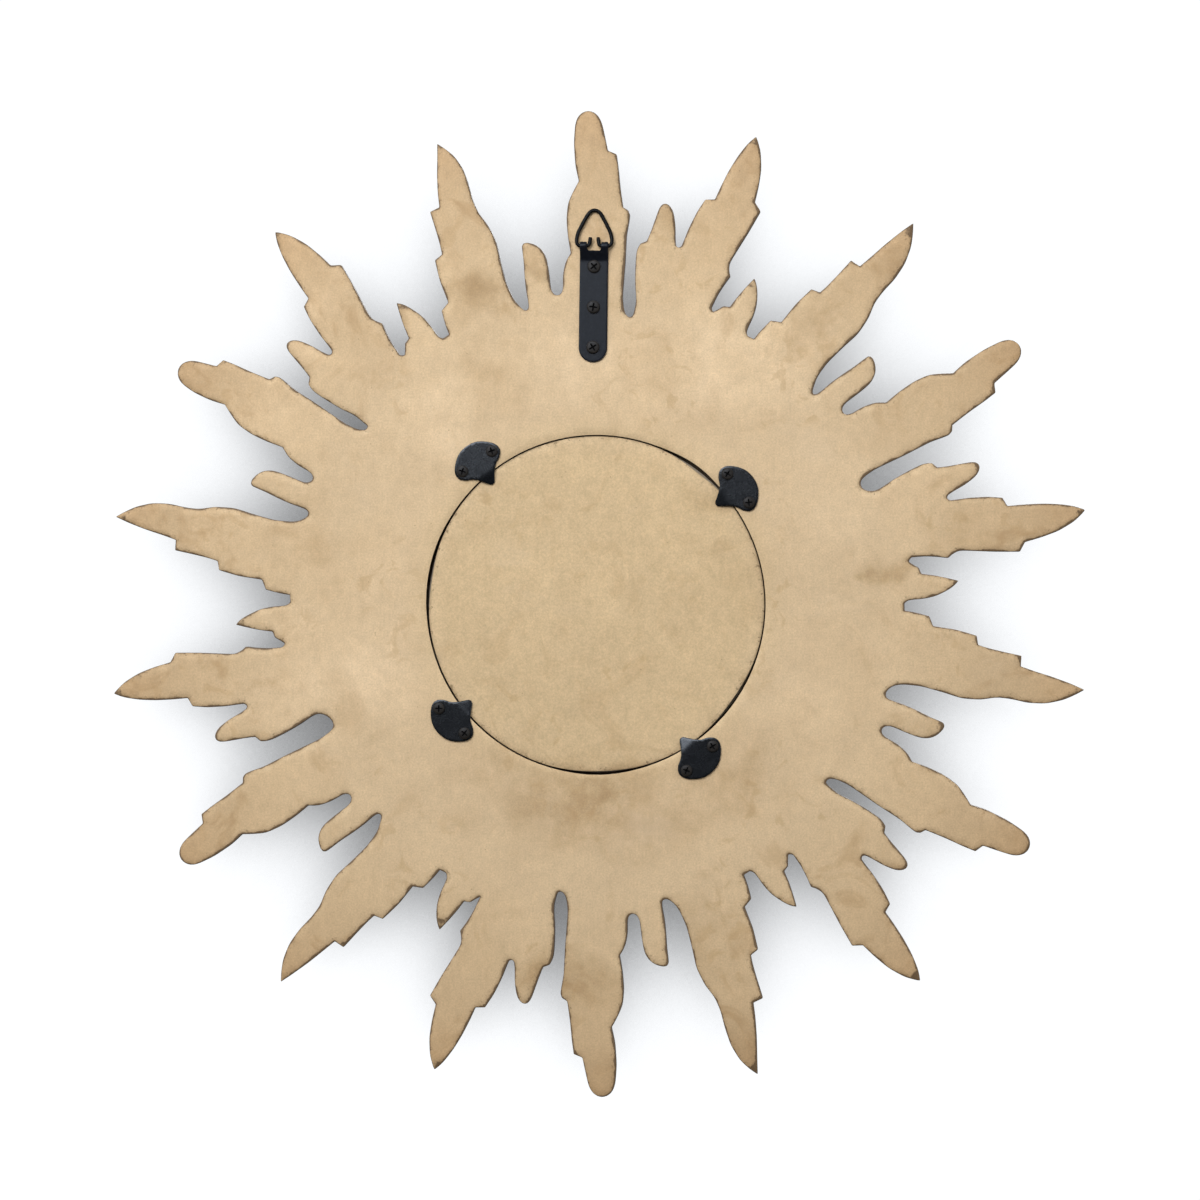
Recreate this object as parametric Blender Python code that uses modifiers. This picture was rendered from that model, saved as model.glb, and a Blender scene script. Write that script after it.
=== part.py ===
"""Sunburst wall mirror: a carved flame frame with a board-backed mirror glass.

Metres, +Z up. The back lies in the plane Y = 0 and faces +Y, and the glass faces -Y.
The origin is in the plane of the back at the top of the hanging ring, where a wall hook
carries the mirror. Shapes are drawn about the centre of the round recess, as seen from the
back, so "across" runs to the viewer's right and "up" runs to the top ray.
"""

import math

import bmesh
import bpy
from mathutils import Matrix, Vector

MM = 0.001

# ---- frame ----
SECTORS = 6  # the flame pattern repeats every 60 degrees
SECTOR_DEG = 60.0
FIRST_AXIS_DEG = 90.0  # the first blunt ray points straight up
PLATE_CENTRE_T = 14.0 * MM  # plate thickness out to the slot bottoms
PLATE_TIP_T = 8.0 * MM  # plate thickness at the ray tips
TAPER_START_R = 180.0 * MM
TAPER_END_R = 305.0 * MM
RECESS_R = 104.9 * MM
RECESS_D = 11.1 * MM
SIGHT_R = 94.0 * MM
BOSS_STEPS = 60
STEP_DEG = 24.0  # a smooth outline gets a straight step for each this many degrees
MOST_STEPS = 3

# ---- glass, cushion and board, measured down from the back plane ----
INSERT_R = 103.9 * MM
BOARD_TOP = 1.5 * MM
BOARD_T = 3.0 * MM
CUSHION_T = 3.0 * MM
CUSHION_IN_R = 93.0 * MM
GLASS_T = 2.7 * MM
GLASS_BEVEL = 1.0 * MM
GAP = 0.3 * MM
INSERT_STEPS = 80
BOARD_POINTS = 96

# ---- sheet-metal clips ----
CLIP_T = 1.2 * MM
LIFT = 0.25 * MM  # clearance under clips and strap
CLIP_SCREW_X = 11.0 * MM
CLIP_HOLE_R = 1.95 * MM
TAB_FOLD_Y = -10.2 * MM
TAB_SLOPE_DEG = 12.0
# name, angle of the clip round the disc, distance out to its screw line, twist
CLIPS = (
    ("clip_upper_left", 129.7, 115.0 * MM, -5.0),
    ("clip_upper_right", 39.2, 113.3 * MM, -2.5),
    ("clip_lower_left", 218.9, 114.6 * MM, 7.0),
    ("clip_lower_right", 304.0, 114.5 * MM, 9.0),
)

# ---- screws ----
CLIP_HEAD_R = 3.6 * MM
STRAP_HEAD_R = 4.0 * MM
HEAD_H = 1.9 * MM
SHANK_R = 1.6 * MM
SHANK_L = 9.0 * MM
PILOT_R = 1.9 * MM
PILOT_D = 9.0 * MM
SCREW_STEPS = 16

# ---- strap hanger and hanging ring ----
STRAP_W = 17.5 * MM
STRAP_T = 1.2 * MM
WIRE_R = 1.2 * MM
ROLL_R = 2.0 * MM  # from the hinge axis to the middle of the rolled sheet
AXIS_H = LIFT + STRAP_T / 2 + ROLL_R  # hinge axis above the back plane
AXIS_ACROSS = -1.0 * MM
AXIS_UP = 221.1 * MM
HANGER_TILT_DEG = 0.8  # the strap is screwed on slightly out of upright
STRAP_FLAT_TOP = -8.4 * MM
STRAP_END = -71.6 * MM
STRAP_SCREWS = (-12.6 * MM, -37.6 * MM, -62.4 * MM)
STRAP_HOLE_R = 1.95 * MM
NOTCH_HALF_TOP = 4.5 * MM
NOTCH_HALF_END = 3.8 * MM
NOTCH_END = -3.0 * MM
STRAP_END_STEPS = 18
RING_LEAN_DEG = 3.6  # the ring's top leans on the frame
HOOK_ACROSS = -0.7 * MM  # the wall hook's place in the ring's top
HOOK_UP = 242.0 * MM

# Flames of one sector. Each point is (mm across the axis, mm out from the centre, corner?).
BLUNT_RAY = (
    (21.5, 177.4, 0),
    (17.4, 180.6, 0),
    (16.4, 190.0, 0),
    (18.2, 212.0, 0),
    (19.0, 229.0, 0),
    (21.2, 240.2, 1),
    (20.0, 243.3, 0),
    (16.8, 245.2, 1),
    (15.0, 258.0, 0),
    (13.9, 270.0, 0),
    (12.8, 278.0, 1),
    (7.4, 280.2, 1),
    (5.6, 289.0, 0),
    (3.6, 298.0, 0),
    (0.2, 303.3, 0),
    (-5.2, 305.2, 0),
    (-10.8, 302.2, 0),
    (-13.0, 296.0, 0),
    (-13.7, 285.0, 0),
    (-12.8, 271.0, 0),
    (-10.6, 261.5, 1),
    (-14.2, 255.0, 0),
    (-17.4, 248.0, 0),
    (-18.3, 238.0, 0),
    (-17.4, 227.0, 0),
    (-15.6, 217.0, 1),
    (-19.0, 211.5, 0),
    (-20.6, 203.0, 0),
    (-20.3, 194.5, 0),
)
BLUNT_TONGUE = (
    (-21.8, 191.2, 0),
    (-25.0, 190.6, 0),
    (-28.0, 194.5, 0),
    (-29.0, 204.0, 0),
    (-30.6, 214.0, 0),
    (-34.4, 220.4, 0),
    (-40.3, 223.4, 0),
    (-44.8, 223.2, 0),
    (-46.0, 221.0, 1),
)
BLUNT_TONGUE_INNER = (
    (30.6, 215.0, 0),
    (28.0, 206.5, 0),
    (25.6, 197.0, 0),
    (24.6, 189.5, 0),
    (22.3, 185.6, 0),
)
STEPPED_RAY = (
    (18.6, 187.4, 0),
    (15.6, 195.0, 0),
    (14.8, 206.0, 0),
    (16.2, 220.0, 0),
    (17.9, 232.0, 0),
    (16.6, 243.5, 0),
    (13.4, 253.0, 0),
    (12.9, 262.0, 0),
    (13.7, 272.0, 0),
    (12.9, 283.0, 0),
    (9.6, 293.0, 0),
    (5.2, 300.0, 0),
    (1.6, 304.5, 1),
    (-0.9, 296.0, 0),
    (-4.0, 284.0, 0),
    (-6.2, 273.0, 0),
    (-7.9, 264.0, 1),
    (-14.4, 263.4, 1),
    (-14.9, 251.0, 0),
    (-15.6, 241.0, 0),
    (-16.4, 236.0, 1),
    (-21.8, 234.2, 1),
    (-23.3, 221.0, 0),
    (-22.9, 206.8, 1),
    (-28.6, 203.4, 1),
    (-29.4, 194.0, 0),
    (-29.2, 188.0, 1),
    (-33.5, 187.0, 1),
)
SHARP_TONGUE = (
    (-36.3, 189.5, 0),
    (-38.3, 198.0, 0),
    (-41.2, 205.0, 0),
    (-45.5, 211.0, 0),
)
SHARP_TONGUE_INNER = (
    (27.3, 219.0, 0),
    (24.4, 222.4, 1),
    (21.8, 216.5, 0),
    (18.6, 208.5, 0),
    (16.2, 200.6, 1),
    (12.3, 199.8, 1),
    (9.6, 196.4, 0),
    (7.6, 194.3, 1),
)
LANCE_RAY = (
    (6.0, 196.5, 0),
    (6.8, 205.0, 0),
    (8.6, 213.0, 0),
    (10.4, 218.6, 1),
    (8.4, 221.6, 0),
    (6.8, 225.6, 1),
    (9.2, 237.0, 0),
    (11.6, 248.0, 0),
    (14.2, 262.6, 1),
    (8.9, 266.6, 1),
    (7.9, 276.0, 0),
    (5.8, 287.0, 0),
    (1.8, 297.0, 0),
    (-2.4, 303.0, 0),
    (-4.2, 304.8, 1),
    (-7.4, 299.5, 0),
    (-10.6, 290.0, 0),
    (-12.8, 279.5, 0),
    (-14.2, 268.0, 0),
    (-14.8, 259.8, 1),
    (-20.4, 257.8, 1),
    (-22.6, 249.0, 0),
    (-24.0, 237.0, 0),
    (-24.2, 226.5, 0),
    (-26.5, 224.3, 0),
)
LONG_TONGUE = (
    (-29.2, 228.0, 0),
    (-32.2, 236.5, 0),
    (-36.0, 243.8, 0),
    (-40.6, 247.6, 0),
    (-44.0, 247.2, 0),
    (-45.4, 244.5, 1),
)
LONG_TONGUE_INNER = (
    (38.3, 238.0, 0),
    (35.3, 229.5, 0),
    (33.0, 224.2, 1),
    (29.0, 222.8, 1),
    (26.6, 218.5, 0),
    (25.9, 208.0, 0),
    (25.8, 197.0, 0),
    (26.6, 188.0, 0),
    (25.4, 181.5, 0),
)
# Points, the axis they are measured from (degrees past the sector's start), and their flame.
SECTOR = (
    (BLUNT_RAY, 0.0, "blunt"),
    (BLUNT_TONGUE, 0.0, "blunt"),
    (BLUNT_TONGUE_INNER, 20.0, "blunt"),
    (STEPPED_RAY, 20.0, "stepped"),
    (SHARP_TONGUE, 20.0, "stepped"),
    (SHARP_TONGUE_INNER, 40.0, "stepped"),
    (LANCE_RAY, 40.0, "lance"),
    (LONG_TONGUE, 40.0, "lance"),
    (LONG_TONGUE_INNER, 60.0, "lance"),
)
# Carving differences between the six repeats, in mm: drift of the flame across its axis,
# extra reach of its tip and sideways lean of its tip.
DRIFT = {
    "blunt": (0.0, 2.7, -3.0, 1.0, 2.0, -2.6),
    "stepped": (0.8, 2.0, -2.2, 0.6, 0.0, -1.3),
    "lance": (0.0, 1.6, -0.3, 0.0, -0.8, -1.6),
}
REACH = {
    "blunt": (0.0, -7.0, -2.5, -0.5, 1.0, 0.5),
    "stepped": (-3.0, -1.0, 0.5, 2.0, 0.5, 1.0),
    "lance": (0.0, 0.0, 0.0, 1.0, 1.5, 0.0),
}
LEAN = {
    "blunt": (0.0, 0.0, 0.0, 0.0, 0.0, 0.0),
    "stepped": (2.6, -1.9, 0.0, 3.1, -2.1, -1.4),
    "lance": (0.0, 0.0, 0.0, 0.0, 0.0, 0.0),
}
TIP_ZONE = (265.0, 305.0)  # mm out from the centre over which reach and lean grow

# Front boss: (radius, height in front of the back plane) in mm, from its foot inwards.
BOSS_PROFILE = (
    (175.0, 7.0),
    (174.0, 14.6),
    (171.0, 16.2),
    (160.0, 18.6),
    (150.0, 20.0),
    (143.0, 21.4),
    (138.0, 24.0),
    (134.0, 28.5),
    (130.0, 33.5),
    (125.0, 37.0),
    (119.0, 38.0),
    (113.5, 36.6),
    (109.5, 33.0),
    (108.0, 29.6),
    (104.8, 31.4),
    (101.5, 29.8),
    (98.5, 24.0),
    (90.0, 14.0),
    (90.0, 6.0),
)

# Cut-in places of the board's edge: angle, half width in degrees, depth in mm.
BOARD_R = 104.0 * MM
BOARD_FLATS = (
    (52.0, 9.0, 1.3),
    (172.0, 9.0, 1.1),
    (272.0, 12.0, 0.8),
    (325.0, 13.0, 1.3),
)

# Half of the clip outline from its top down to its tab: mm beside and above the screw line.
CLIP_HALF = (
    (0.0, 11.4, 0),
    (-6.5, 10.2, 0),
    (-12.2, 6.2, 0),
    (-15.6, 1.6, 0),
    (-15.6, -2.6, 0),
    (-12.6, -5.8, 0),
    (-8.6, -7.9, 0),
    (-6.0, -10.4, 0),
    (-3.4, -13.9, 0),
    (-1.5, -16.6, 0),
)
CLIP_TIP = (0.0, -17.2, 0)

# Right half of the hanging ring's wire from its end in the notch to its top, in mm.
RING_HALF = (
    (2.4, 5.4),
    (2.7, 2.6),
    (3.1, 0.9),
    (4.3, 0.0),
    (8.7, 0.0),
    (10.1, 0.7),
    (10.8, 2.2),
    (10.8, 4.4),
    (10.0, 8.0),
    (8.2, 12.0),
    (5.9, 16.4),
    (4.0, 19.6),
    (2.5, 21.3),
)
RING_TOP = (0.0, 22.2)


def clear_scene():
    for obj in list(bpy.data.objects):
        bpy.data.objects.remove(obj, do_unlink=True)


def make_collection(name):
    coll = bpy.data.collections.new(name)
    bpy.context.scene.collection.children.link(coll)
    return coll


def material(name, color, metallic, roughness):
    mat = bpy.data.materials.new(name)
    mat.use_nodes = True
    shader = mat.node_tree.nodes["Principled BSDF"]
    shader.inputs["Base Color"].default_value = (*color, 1.0)
    shader.inputs["Metallic"].default_value = metallic
    shader.inputs["Roughness"].default_value = roughness
    mat.diffuse_color = (*color, 1.0)
    return mat


def gilt_material():
    return material("gilt_paint", (0.66, 0.50, 0.31), 0.15, 0.55)


def board_material():
    return material("board_paint", (0.62, 0.47, 0.30), 0.05, 0.65)


def mirror_material():
    return material("mirror_silver", (0.90, 0.91, 0.92), 1.0, 0.03)


def cushion_material():
    return material("cushion_card", (0.30, 0.24, 0.18), 0.0, 0.9)


def clip_material():
    return material("clip_black", (0.035, 0.036, 0.042), 0.3, 0.45)


def screw_material():
    return material("screw_black", (0.030, 0.030, 0.034), 0.5, 0.4)


def strap_material():
    return material("strap_black", (0.035, 0.037, 0.045), 0.3, 0.4)


def ring_material():
    return material("ring_black", (0.025, 0.025, 0.028), 0.5, 0.35)


def face_outwards(bm):
    bmesh.ops.recalc_face_normals(bm, faces=bm.faces)
    if bm.faces and bm.calc_volume(signed=True) < 0.0:
        bmesh.ops.reverse_faces(bm, faces=bm.faces)


def obj_from_bmesh(name, bm, coll, mat=None):
    face_outwards(bm)
    mesh = bpy.data.meshes.new(name)
    bm.to_mesh(mesh)
    bm.free()
    obj = bpy.data.objects.new(name, mesh)
    if mat is not None:
        mesh.materials.append(mat)
    coll.objects.link(obj)
    return obj


def evaluated_mesh(obj):
    """The object's shape with its modifiers worked out, in its own coordinates."""
    bpy.context.view_layer.update()
    graph = bpy.context.evaluated_depsgraph_get()
    return bpy.data.meshes.new_from_object(obj.evaluated_get(graph), depsgraph=graph)


def rounded(points):
    """The closed outline with its smooth stretches drawn as short straight steps.

    Points are (x, y, corner?). The curve leaves a smooth point parallel to the line between
    its neighbours, and a stretch gets one step for every STEP_DEG that it turns.
    """
    count = len(points)
    spots = [Vector((x, y)) for x, y, corner in points]
    drawn = []
    for i in range(count):
        start, end = spots[i], spots[(i + 1) % count]
        span = end - start
        leave, arrive = span, span
        if not points[i][2]:
            leave = (end - spots[i - 1]).normalized() * span.length
        if not points[(i + 1) % count][2]:
            arrive = (spots[(i + 2) % count] - start).normalized() * span.length
        turn = math.degrees(leave.angle(span) + arrive.angle(span))
        steps = max(1, min(MOST_STEPS, math.ceil(turn / STEP_DEG)))
        for step in range(steps):
            t = step / steps
            bend = (t - t * t) * ((1.0 - t) * (leave - span) - t * (arrive - span))
            drawn.append(start + span * t + bend)
    return [(spot.x, spot.y) for spot in drawn]


def slab(points, thickness):
    """A filled outline of (x, y) in the XY plane, from Z = 0 up to Z = thickness."""
    curve = bpy.data.curves.new("outline", "CURVE")
    curve.dimensions = "2D"
    curve.fill_mode = "BOTH"
    curve.extrude = thickness / 2
    spline = curve.splines.new("POLY")
    spline.use_cyclic_u = True
    spline.points.add(len(points) - 1)
    for point, (x, y) in zip(spline.points, points):
        point.co = (x, y, 0.0, 1.0)
    obj = bpy.data.objects.new("outline", curve)
    bpy.context.scene.collection.objects.link(obj)
    mesh = evaluated_mesh(obj)
    bpy.data.objects.remove(obj, do_unlink=True)
    bm = bmesh.new()
    bm.from_mesh(mesh)
    bmesh.ops.remove_doubles(bm, verts=bm.verts, dist=1e-6)
    bmesh.ops.translate(bm, verts=bm.verts, vec=(0.0, 0.0, thickness / 2))
    face_outwards(bm)
    return bm


def revolve(name, profile, steps, coll, mat=None, closed=False):
    """A solid of revolution about Z from a profile of (radius, height), top to bottom.

    A closed profile makes a ring. An open one starts and ends on the axis.
    """
    bm = bmesh.new()
    verts = [bm.verts.new((r, 0.0, z)) for r, z in profile]
    ends = verts[1:] + verts[:1] if closed else verts[1:]
    for first, second in zip(verts, ends):
        bm.edges.new((first, second))
    obj = obj_from_bmesh(name, bm, coll, mat)
    screw = obj.modifiers.new("Screw", "SCREW")
    screw.axis = "Z"
    screw.steps = steps
    screw.render_steps = steps
    screw.use_merge_vertices = True
    screw.merge_threshold = 1e-5
    return obj


def bake_shape(obj, matrix=None):
    """Replace the object's mesh by its evaluated shape, moved by the matrix."""
    mats = list(obj.data.materials)
    mesh = evaluated_mesh(obj)
    obj.modifiers.clear()
    if matrix is not None:
        mesh.transform(matrix)
    bm = bmesh.new()
    bm.from_mesh(mesh)
    bmesh.ops.remove_doubles(bm, verts=bm.verts, dist=1e-6)
    face_outwards(bm)
    bm.to_mesh(mesh)
    bm.free()
    mesh.materials.clear()
    for mat in mats:
        mesh.materials.append(mat)
    mesh.name = obj.name
    obj.data = mesh
    return obj


def boolean(obj, cutter, operation):
    mod = obj.modifiers.new(cutter.name, "BOOLEAN")
    mod.operation = operation
    mod.solver = "EXACT"
    mod.object = cutter


def hide_cutter(obj):
    obj.hide_render = True
    obj.display_type = "WIRE"


def cylinder_bm(bm, radius, z_low, z_high, steps, x=0.0, y=0.0):
    matrix = Matrix.Translation((x, y, (z_low + z_high) / 2))
    bmesh.ops.create_cone(
        bm,
        cap_ends=True,
        segments=steps,
        radius1=radius,
        radius2=radius,
        depth=z_high - z_low,
        matrix=matrix,
    )


# Shapes are drawn with Z running out of the back. This turns them into place:
# local X -> across as seen from the back, local Y -> up, local Z -> out of the back.
BACK_TO_WORLD = Matrix(
    (
        (-1.0, 0.0, 0.0, HOOK_ACROSS),
        (0.0, 0.0, 1.0, 0.0),
        (0.0, 1.0, 0.0, -HOOK_UP),
        (0.0, 0.0, 0.0, 1.0),
    )
)


def tip_share(out):
    low, high = TIP_ZONE
    share = min(max((out - low) / (high - low), 0.0), 1.0)
    return share * share * (3.0 - 2.0 * share)


def sunburst_outline():
    """The whole flame outline as seen from the back, in metres."""
    points = []
    for sector in range(SECTORS):
        for flame, axis_deg, kind in SECTOR:
            axis = math.radians(FIRST_AXIS_DEG + sector * SECTOR_DEG + axis_deg)
            for across, out, corner in flame:
                share = tip_share(out)
                side = across + DRIFT[kind][sector] + LEAN[kind][sector] * share
                reach = out + REACH[kind][sector] * share
                x = side * math.sin(axis) + reach * math.cos(axis)
                y = -side * math.cos(axis) + reach * math.sin(axis)
                points.append((x * MM, y * MM, corner))
    return points


def plate_thickness(radius):
    share = (radius - TAPER_START_R) / (TAPER_END_R - TAPER_START_R)
    share = min(max(share, 0.0), 1.0)
    return PLATE_CENTRE_T + (PLATE_TIP_T - PLATE_CENTRE_T) * share


def screw_places():
    """(across, up) of every screw in the frame, as seen from the back."""
    places = []
    for name, angle_deg, out, twist in CLIPS:
        matrix = clip_matrix(angle_deg, out, twist)
        for side in (-1, 1):
            spot = matrix @ Vector((side * CLIP_SCREW_X, 0.0, 0.0))
            places.append((spot.x, spot.y))
    for height in STRAP_SCREWS:
        spot = hanger_matrix() @ Vector((0.0, height, 0.0))
        places.append((spot.x, spot.y))
    return places


def build_frame(coll, cutters):
    bm = slab(rounded(sunburst_outline()), PLATE_CENTRE_T)
    bmesh.ops.triangulate(bm, faces=bm.faces)
    for vert in bm.verts:
        if vert.co.z > PLATE_CENTRE_T / 2:
            vert.co.z = -plate_thickness(vert.co.xy.length)
        else:
            vert.co.z = 0.0
    frame = obj_from_bmesh("sunburst_frame", bm, coll, gilt_material())

    profile = [(r * MM, -h * MM) for r, h in BOSS_PROFILE]
    boss = revolve("boss", profile, BOSS_STEPS, cutters, closed=True)
    bake_shape(boss)
    hide_cutter(boss)
    boolean(frame, boss, "UNION")

    bm = bmesh.new()
    cylinder_bm(bm, RECESS_R, -RECESS_D, RECESS_D, INSERT_STEPS)
    recess = obj_from_bmesh("recess", bm, cutters)
    hide_cutter(recess)
    boolean(frame, recess, "DIFFERENCE")

    bm = bmesh.new()
    cylinder_bm(bm, SIGHT_R, -80.0 * MM, -RECESS_D / 2, INSERT_STEPS)
    sight = obj_from_bmesh("sight", bm, cutters)
    hide_cutter(sight)
    boolean(frame, sight, "DIFFERENCE")

    bm = bmesh.new()
    for x, y in screw_places():
        cylinder_bm(bm, PILOT_R, -PILOT_D, PILOT_D, 10, x, y)
    pilots = obj_from_bmesh("pilots", bm, cutters)
    hide_cutter(pilots)
    boolean(frame, pilots, "DIFFERENCE")
    return bake_shape(frame, BACK_TO_WORLD)


def board_radius(angle_deg):
    radius = BOARD_R
    for middle, half, depth in BOARD_FLATS:
        off = (angle_deg - middle + 180.0) % 360.0 - 180.0
        radius -= depth * MM * math.exp(-((off / half) ** 2))
    return radius


def build_board(coll):
    edge = []
    for step in range(BOARD_POINTS):
        angle_deg = 360.0 * step / BOARD_POINTS
        radius = board_radius(angle_deg)
        angle = math.radians(angle_deg)
        edge.append((radius * math.cos(angle), radius * math.sin(angle)))
    bm = slab(edge, BOARD_T)
    bmesh.ops.translate(bm, verts=bm.verts, vec=(0.0, 0.0, -BOARD_TOP - BOARD_T))
    bm.transform(BACK_TO_WORLD)
    return obj_from_bmesh("back_board", bm, coll, board_material())


def build_cushion(coll):
    top = -BOARD_TOP - BOARD_T - GAP
    low = top - CUSHION_T
    profile = [(INSERT_R, top), (INSERT_R, low), (CUSHION_IN_R, low), (CUSHION_IN_R, top)]
    mat = cushion_material()
    obj = revolve("cushion_ring", profile, INSERT_STEPS, coll, mat, closed=True)
    return bake_shape(obj, BACK_TO_WORLD)


def build_glass(coll):
    top = -BOARD_TOP - BOARD_T - CUSHION_T - 2 * GAP
    low = top - GLASS_T
    profile = [
        (0.0, top),
        (INSERT_R, top),
        (INSERT_R, low + GLASS_BEVEL / 2),
        (INSERT_R - GLASS_BEVEL * 4, low),
        (0.0, low),
    ]
    obj = revolve("mirror_glass", profile, INSERT_STEPS, coll, mirror_material())
    return bake_shape(obj, BACK_TO_WORLD)


def clip_matrix(angle_deg, out, twist_deg):
    """Clip coordinates to the back view: local Y points away from the disc centre."""
    angle = math.radians(angle_deg)
    place = Matrix.Translation((out * math.cos(angle), out * math.sin(angle), 0.0))
    return place @ Matrix.Rotation(math.radians(angle_deg - 90.0 + twist_deg), 4, "Z")


def clip_mesh():
    left = list(CLIP_HALF)
    right = [(-x, y, corner) for x, y, corner in reversed(CLIP_HALF[1:])]
    points = [(x * MM, y * MM, corner) for x, y, corner in left + [CLIP_TIP] + right]
    bm = slab(rounded(points), CLIP_T)
    bmesh.ops.translate(bm, verts=bm.verts, vec=(0.0, 0.0, LIFT))
    fold = Vector((0.0, TAB_FOLD_Y, 0.0))
    geom = bm.verts[:] + bm.edges[:] + bm.faces[:]
    bmesh.ops.bisect_plane(bm, geom=geom, plane_co=fold, plane_no=(0.0, 1.0, 0.0))
    drop = math.tan(math.radians(TAB_SLOPE_DEG))
    for vert in bm.verts:
        past = TAB_FOLD_Y - vert.co.y
        if past > 0.0:
            vert.co.z -= past * drop
    return bm


def build_clips(coll, cutters):
    mat = clip_material()
    bm = bmesh.new()
    for side in (-1, 1):
        cylinder_bm(bm, CLIP_HOLE_R, -5.0 * MM, 5.0 * MM, 16, side * CLIP_SCREW_X)
    holes = obj_from_bmesh("clip_holes", bm, cutters)
    hide_cutter(holes)
    first = obj_from_bmesh("clip_pattern", clip_mesh(), cutters, mat)
    boolean(first, holes, "DIFFERENCE")
    bake_shape(first)
    hide_cutter(first)
    clips = []
    for name, angle_deg, out, twist in CLIPS:
        clip = bpy.data.objects.new(name, first.data.copy())
        clip.data.transform(BACK_TO_WORLD @ clip_matrix(angle_deg, out, twist))
        coll.objects.link(clip)
        clips.append(clip)
    return clips


def screw_pattern(name, head_r, coll, cutters, mat):
    """A pan-head screw with a cross recess, its head's underside at Z = 0."""
    profile = [
        (0.0, HEAD_H),
        (head_r * 0.45, HEAD_H * 0.95),
        (head_r * 0.80, HEAD_H * 0.70),
        (head_r, HEAD_H * 0.22),
        (head_r, 0.0),
        (SHANK_R, 0.0),
        (SHANK_R, -SHANK_L * 0.72),
        (0.0, -SHANK_L),
    ]
    screw = revolve(name, profile, SCREW_STEPS, cutters, mat)
    arm = head_r * 0.52
    half = head_r * 0.12
    depth = HEAD_H * 0.60
    top = HEAD_H + 1.0 * MM
    cross = (
        (half, half),
        (half * 0.8, arm),
        (-half * 0.8, arm),
        (-half, half),
        (-arm, half * 0.8),
        (-arm, -half * 0.8),
        (-half, -half),
        (-half * 0.8, -arm),
        (half * 0.8, -arm),
        (half, -half),
        (arm, -half * 0.8),
        (arm, half * 0.8),
    )
    bm = slab(cross, top)
    bmesh.ops.translate(bm, verts=bm.verts, vec=(0.0, 0.0, HEAD_H - depth))
    recess = obj_from_bmesh(name + "_cross", bm, cutters)
    hide_cutter(recess)
    boolean(screw, recess, "DIFFERENCE")
    bake_shape(screw)
    hide_cutter(screw)
    return screw


def place_screw(name, pattern, matrix, coll):
    screw = bpy.data.objects.new(name, pattern.data.copy())
    screw.data.transform(BACK_TO_WORLD @ matrix)
    coll.objects.link(screw)
    return screw


def build_screws(coll, cutters):
    mat = screw_material()
    seat = LIFT + CLIP_T + 0.1 * MM
    clip_screw = screw_pattern("clip_screw_pattern", CLIP_HEAD_R, coll, cutters, mat)
    turn = 0.0
    for name, angle_deg, out, twist in CLIPS:
        matrix = clip_matrix(angle_deg, out, twist)
        for side, label in ((-1, "a"), (1, "b")):
            turn += 37.0
            spot = Matrix.Translation((side * CLIP_SCREW_X, 0.0, seat))
            spin = Matrix.Rotation(math.radians(turn), 4, "Z")
            full = "screw_" + name + "_" + label
            place_screw(full, clip_screw, matrix @ spot @ spin, coll)
    strap_screw = screw_pattern("strap_screw_pattern", STRAP_HEAD_R, coll, cutters, mat)
    seat = LIFT + STRAP_T + 0.1 * MM
    for number, height in enumerate(STRAP_SCREWS, 1):
        spot = Matrix.Translation((0.0, height, seat))
        spin = Matrix.Rotation(math.radians(41.0 * number), 4, "Z")
        full = "screw_strap_" + str(number)
        place_screw(full, strap_screw, hanger_matrix() @ spot @ spin, coll)


def hanger_matrix():
    """Hanger coordinates to the back view: Y runs up from the hinge axis, Z from the back."""
    place = Matrix.Translation((AXIS_ACROSS, AXIS_UP, 0.0))
    return place @ Matrix.Rotation(math.radians(-HANGER_TILT_DEG), 4, "Z")


def strap_path():
    """Middle line of the strap's sheet, (along, height): flat, ramp and roll."""
    flat_h = LIFT + STRAP_T / 2
    path = [(STRAP_END - 2.0 * MM, flat_h), (STRAP_FLAT_TOP, flat_h)]
    across = -STRAP_FLAT_TOP
    rise = AXIS_H - flat_h
    reach = math.hypot(across, rise)
    ramp = math.atan2(rise, across) + math.asin(ROLL_R / reach)
    start = math.pi / 2 + ramp
    stop = -math.radians(78.0)
    steps = 14
    for step in range(steps + 1):
        angle = start + (stop - start) * step / steps
        path.append((ROLL_R * math.cos(angle), AXIS_H + ROLL_R * math.sin(angle)))
    return path


def strap_plan():
    """The strap seen from the back: round lower end, and the notch between the two rolls."""
    half = STRAP_W / 2
    top = 6.0 * MM
    step_up = NOTCH_END + 2.5 * MM
    plan = [
        (NOTCH_HALF_TOP, top),
        (NOTCH_HALF_TOP, step_up),
        (NOTCH_HALF_END, NOTCH_END),
        (-NOTCH_HALF_END, NOTCH_END),
        (-NOTCH_HALF_TOP, step_up),
        (-NOTCH_HALF_TOP, top),
        (-half, top),
    ]
    for step in range(STRAP_END_STEPS + 1):
        angle = math.pi + math.pi * step / STRAP_END_STEPS
        plan.append((half * math.cos(angle), STRAP_END + half + half * math.sin(angle)))
    plan.append((half, top))
    return plan


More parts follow.
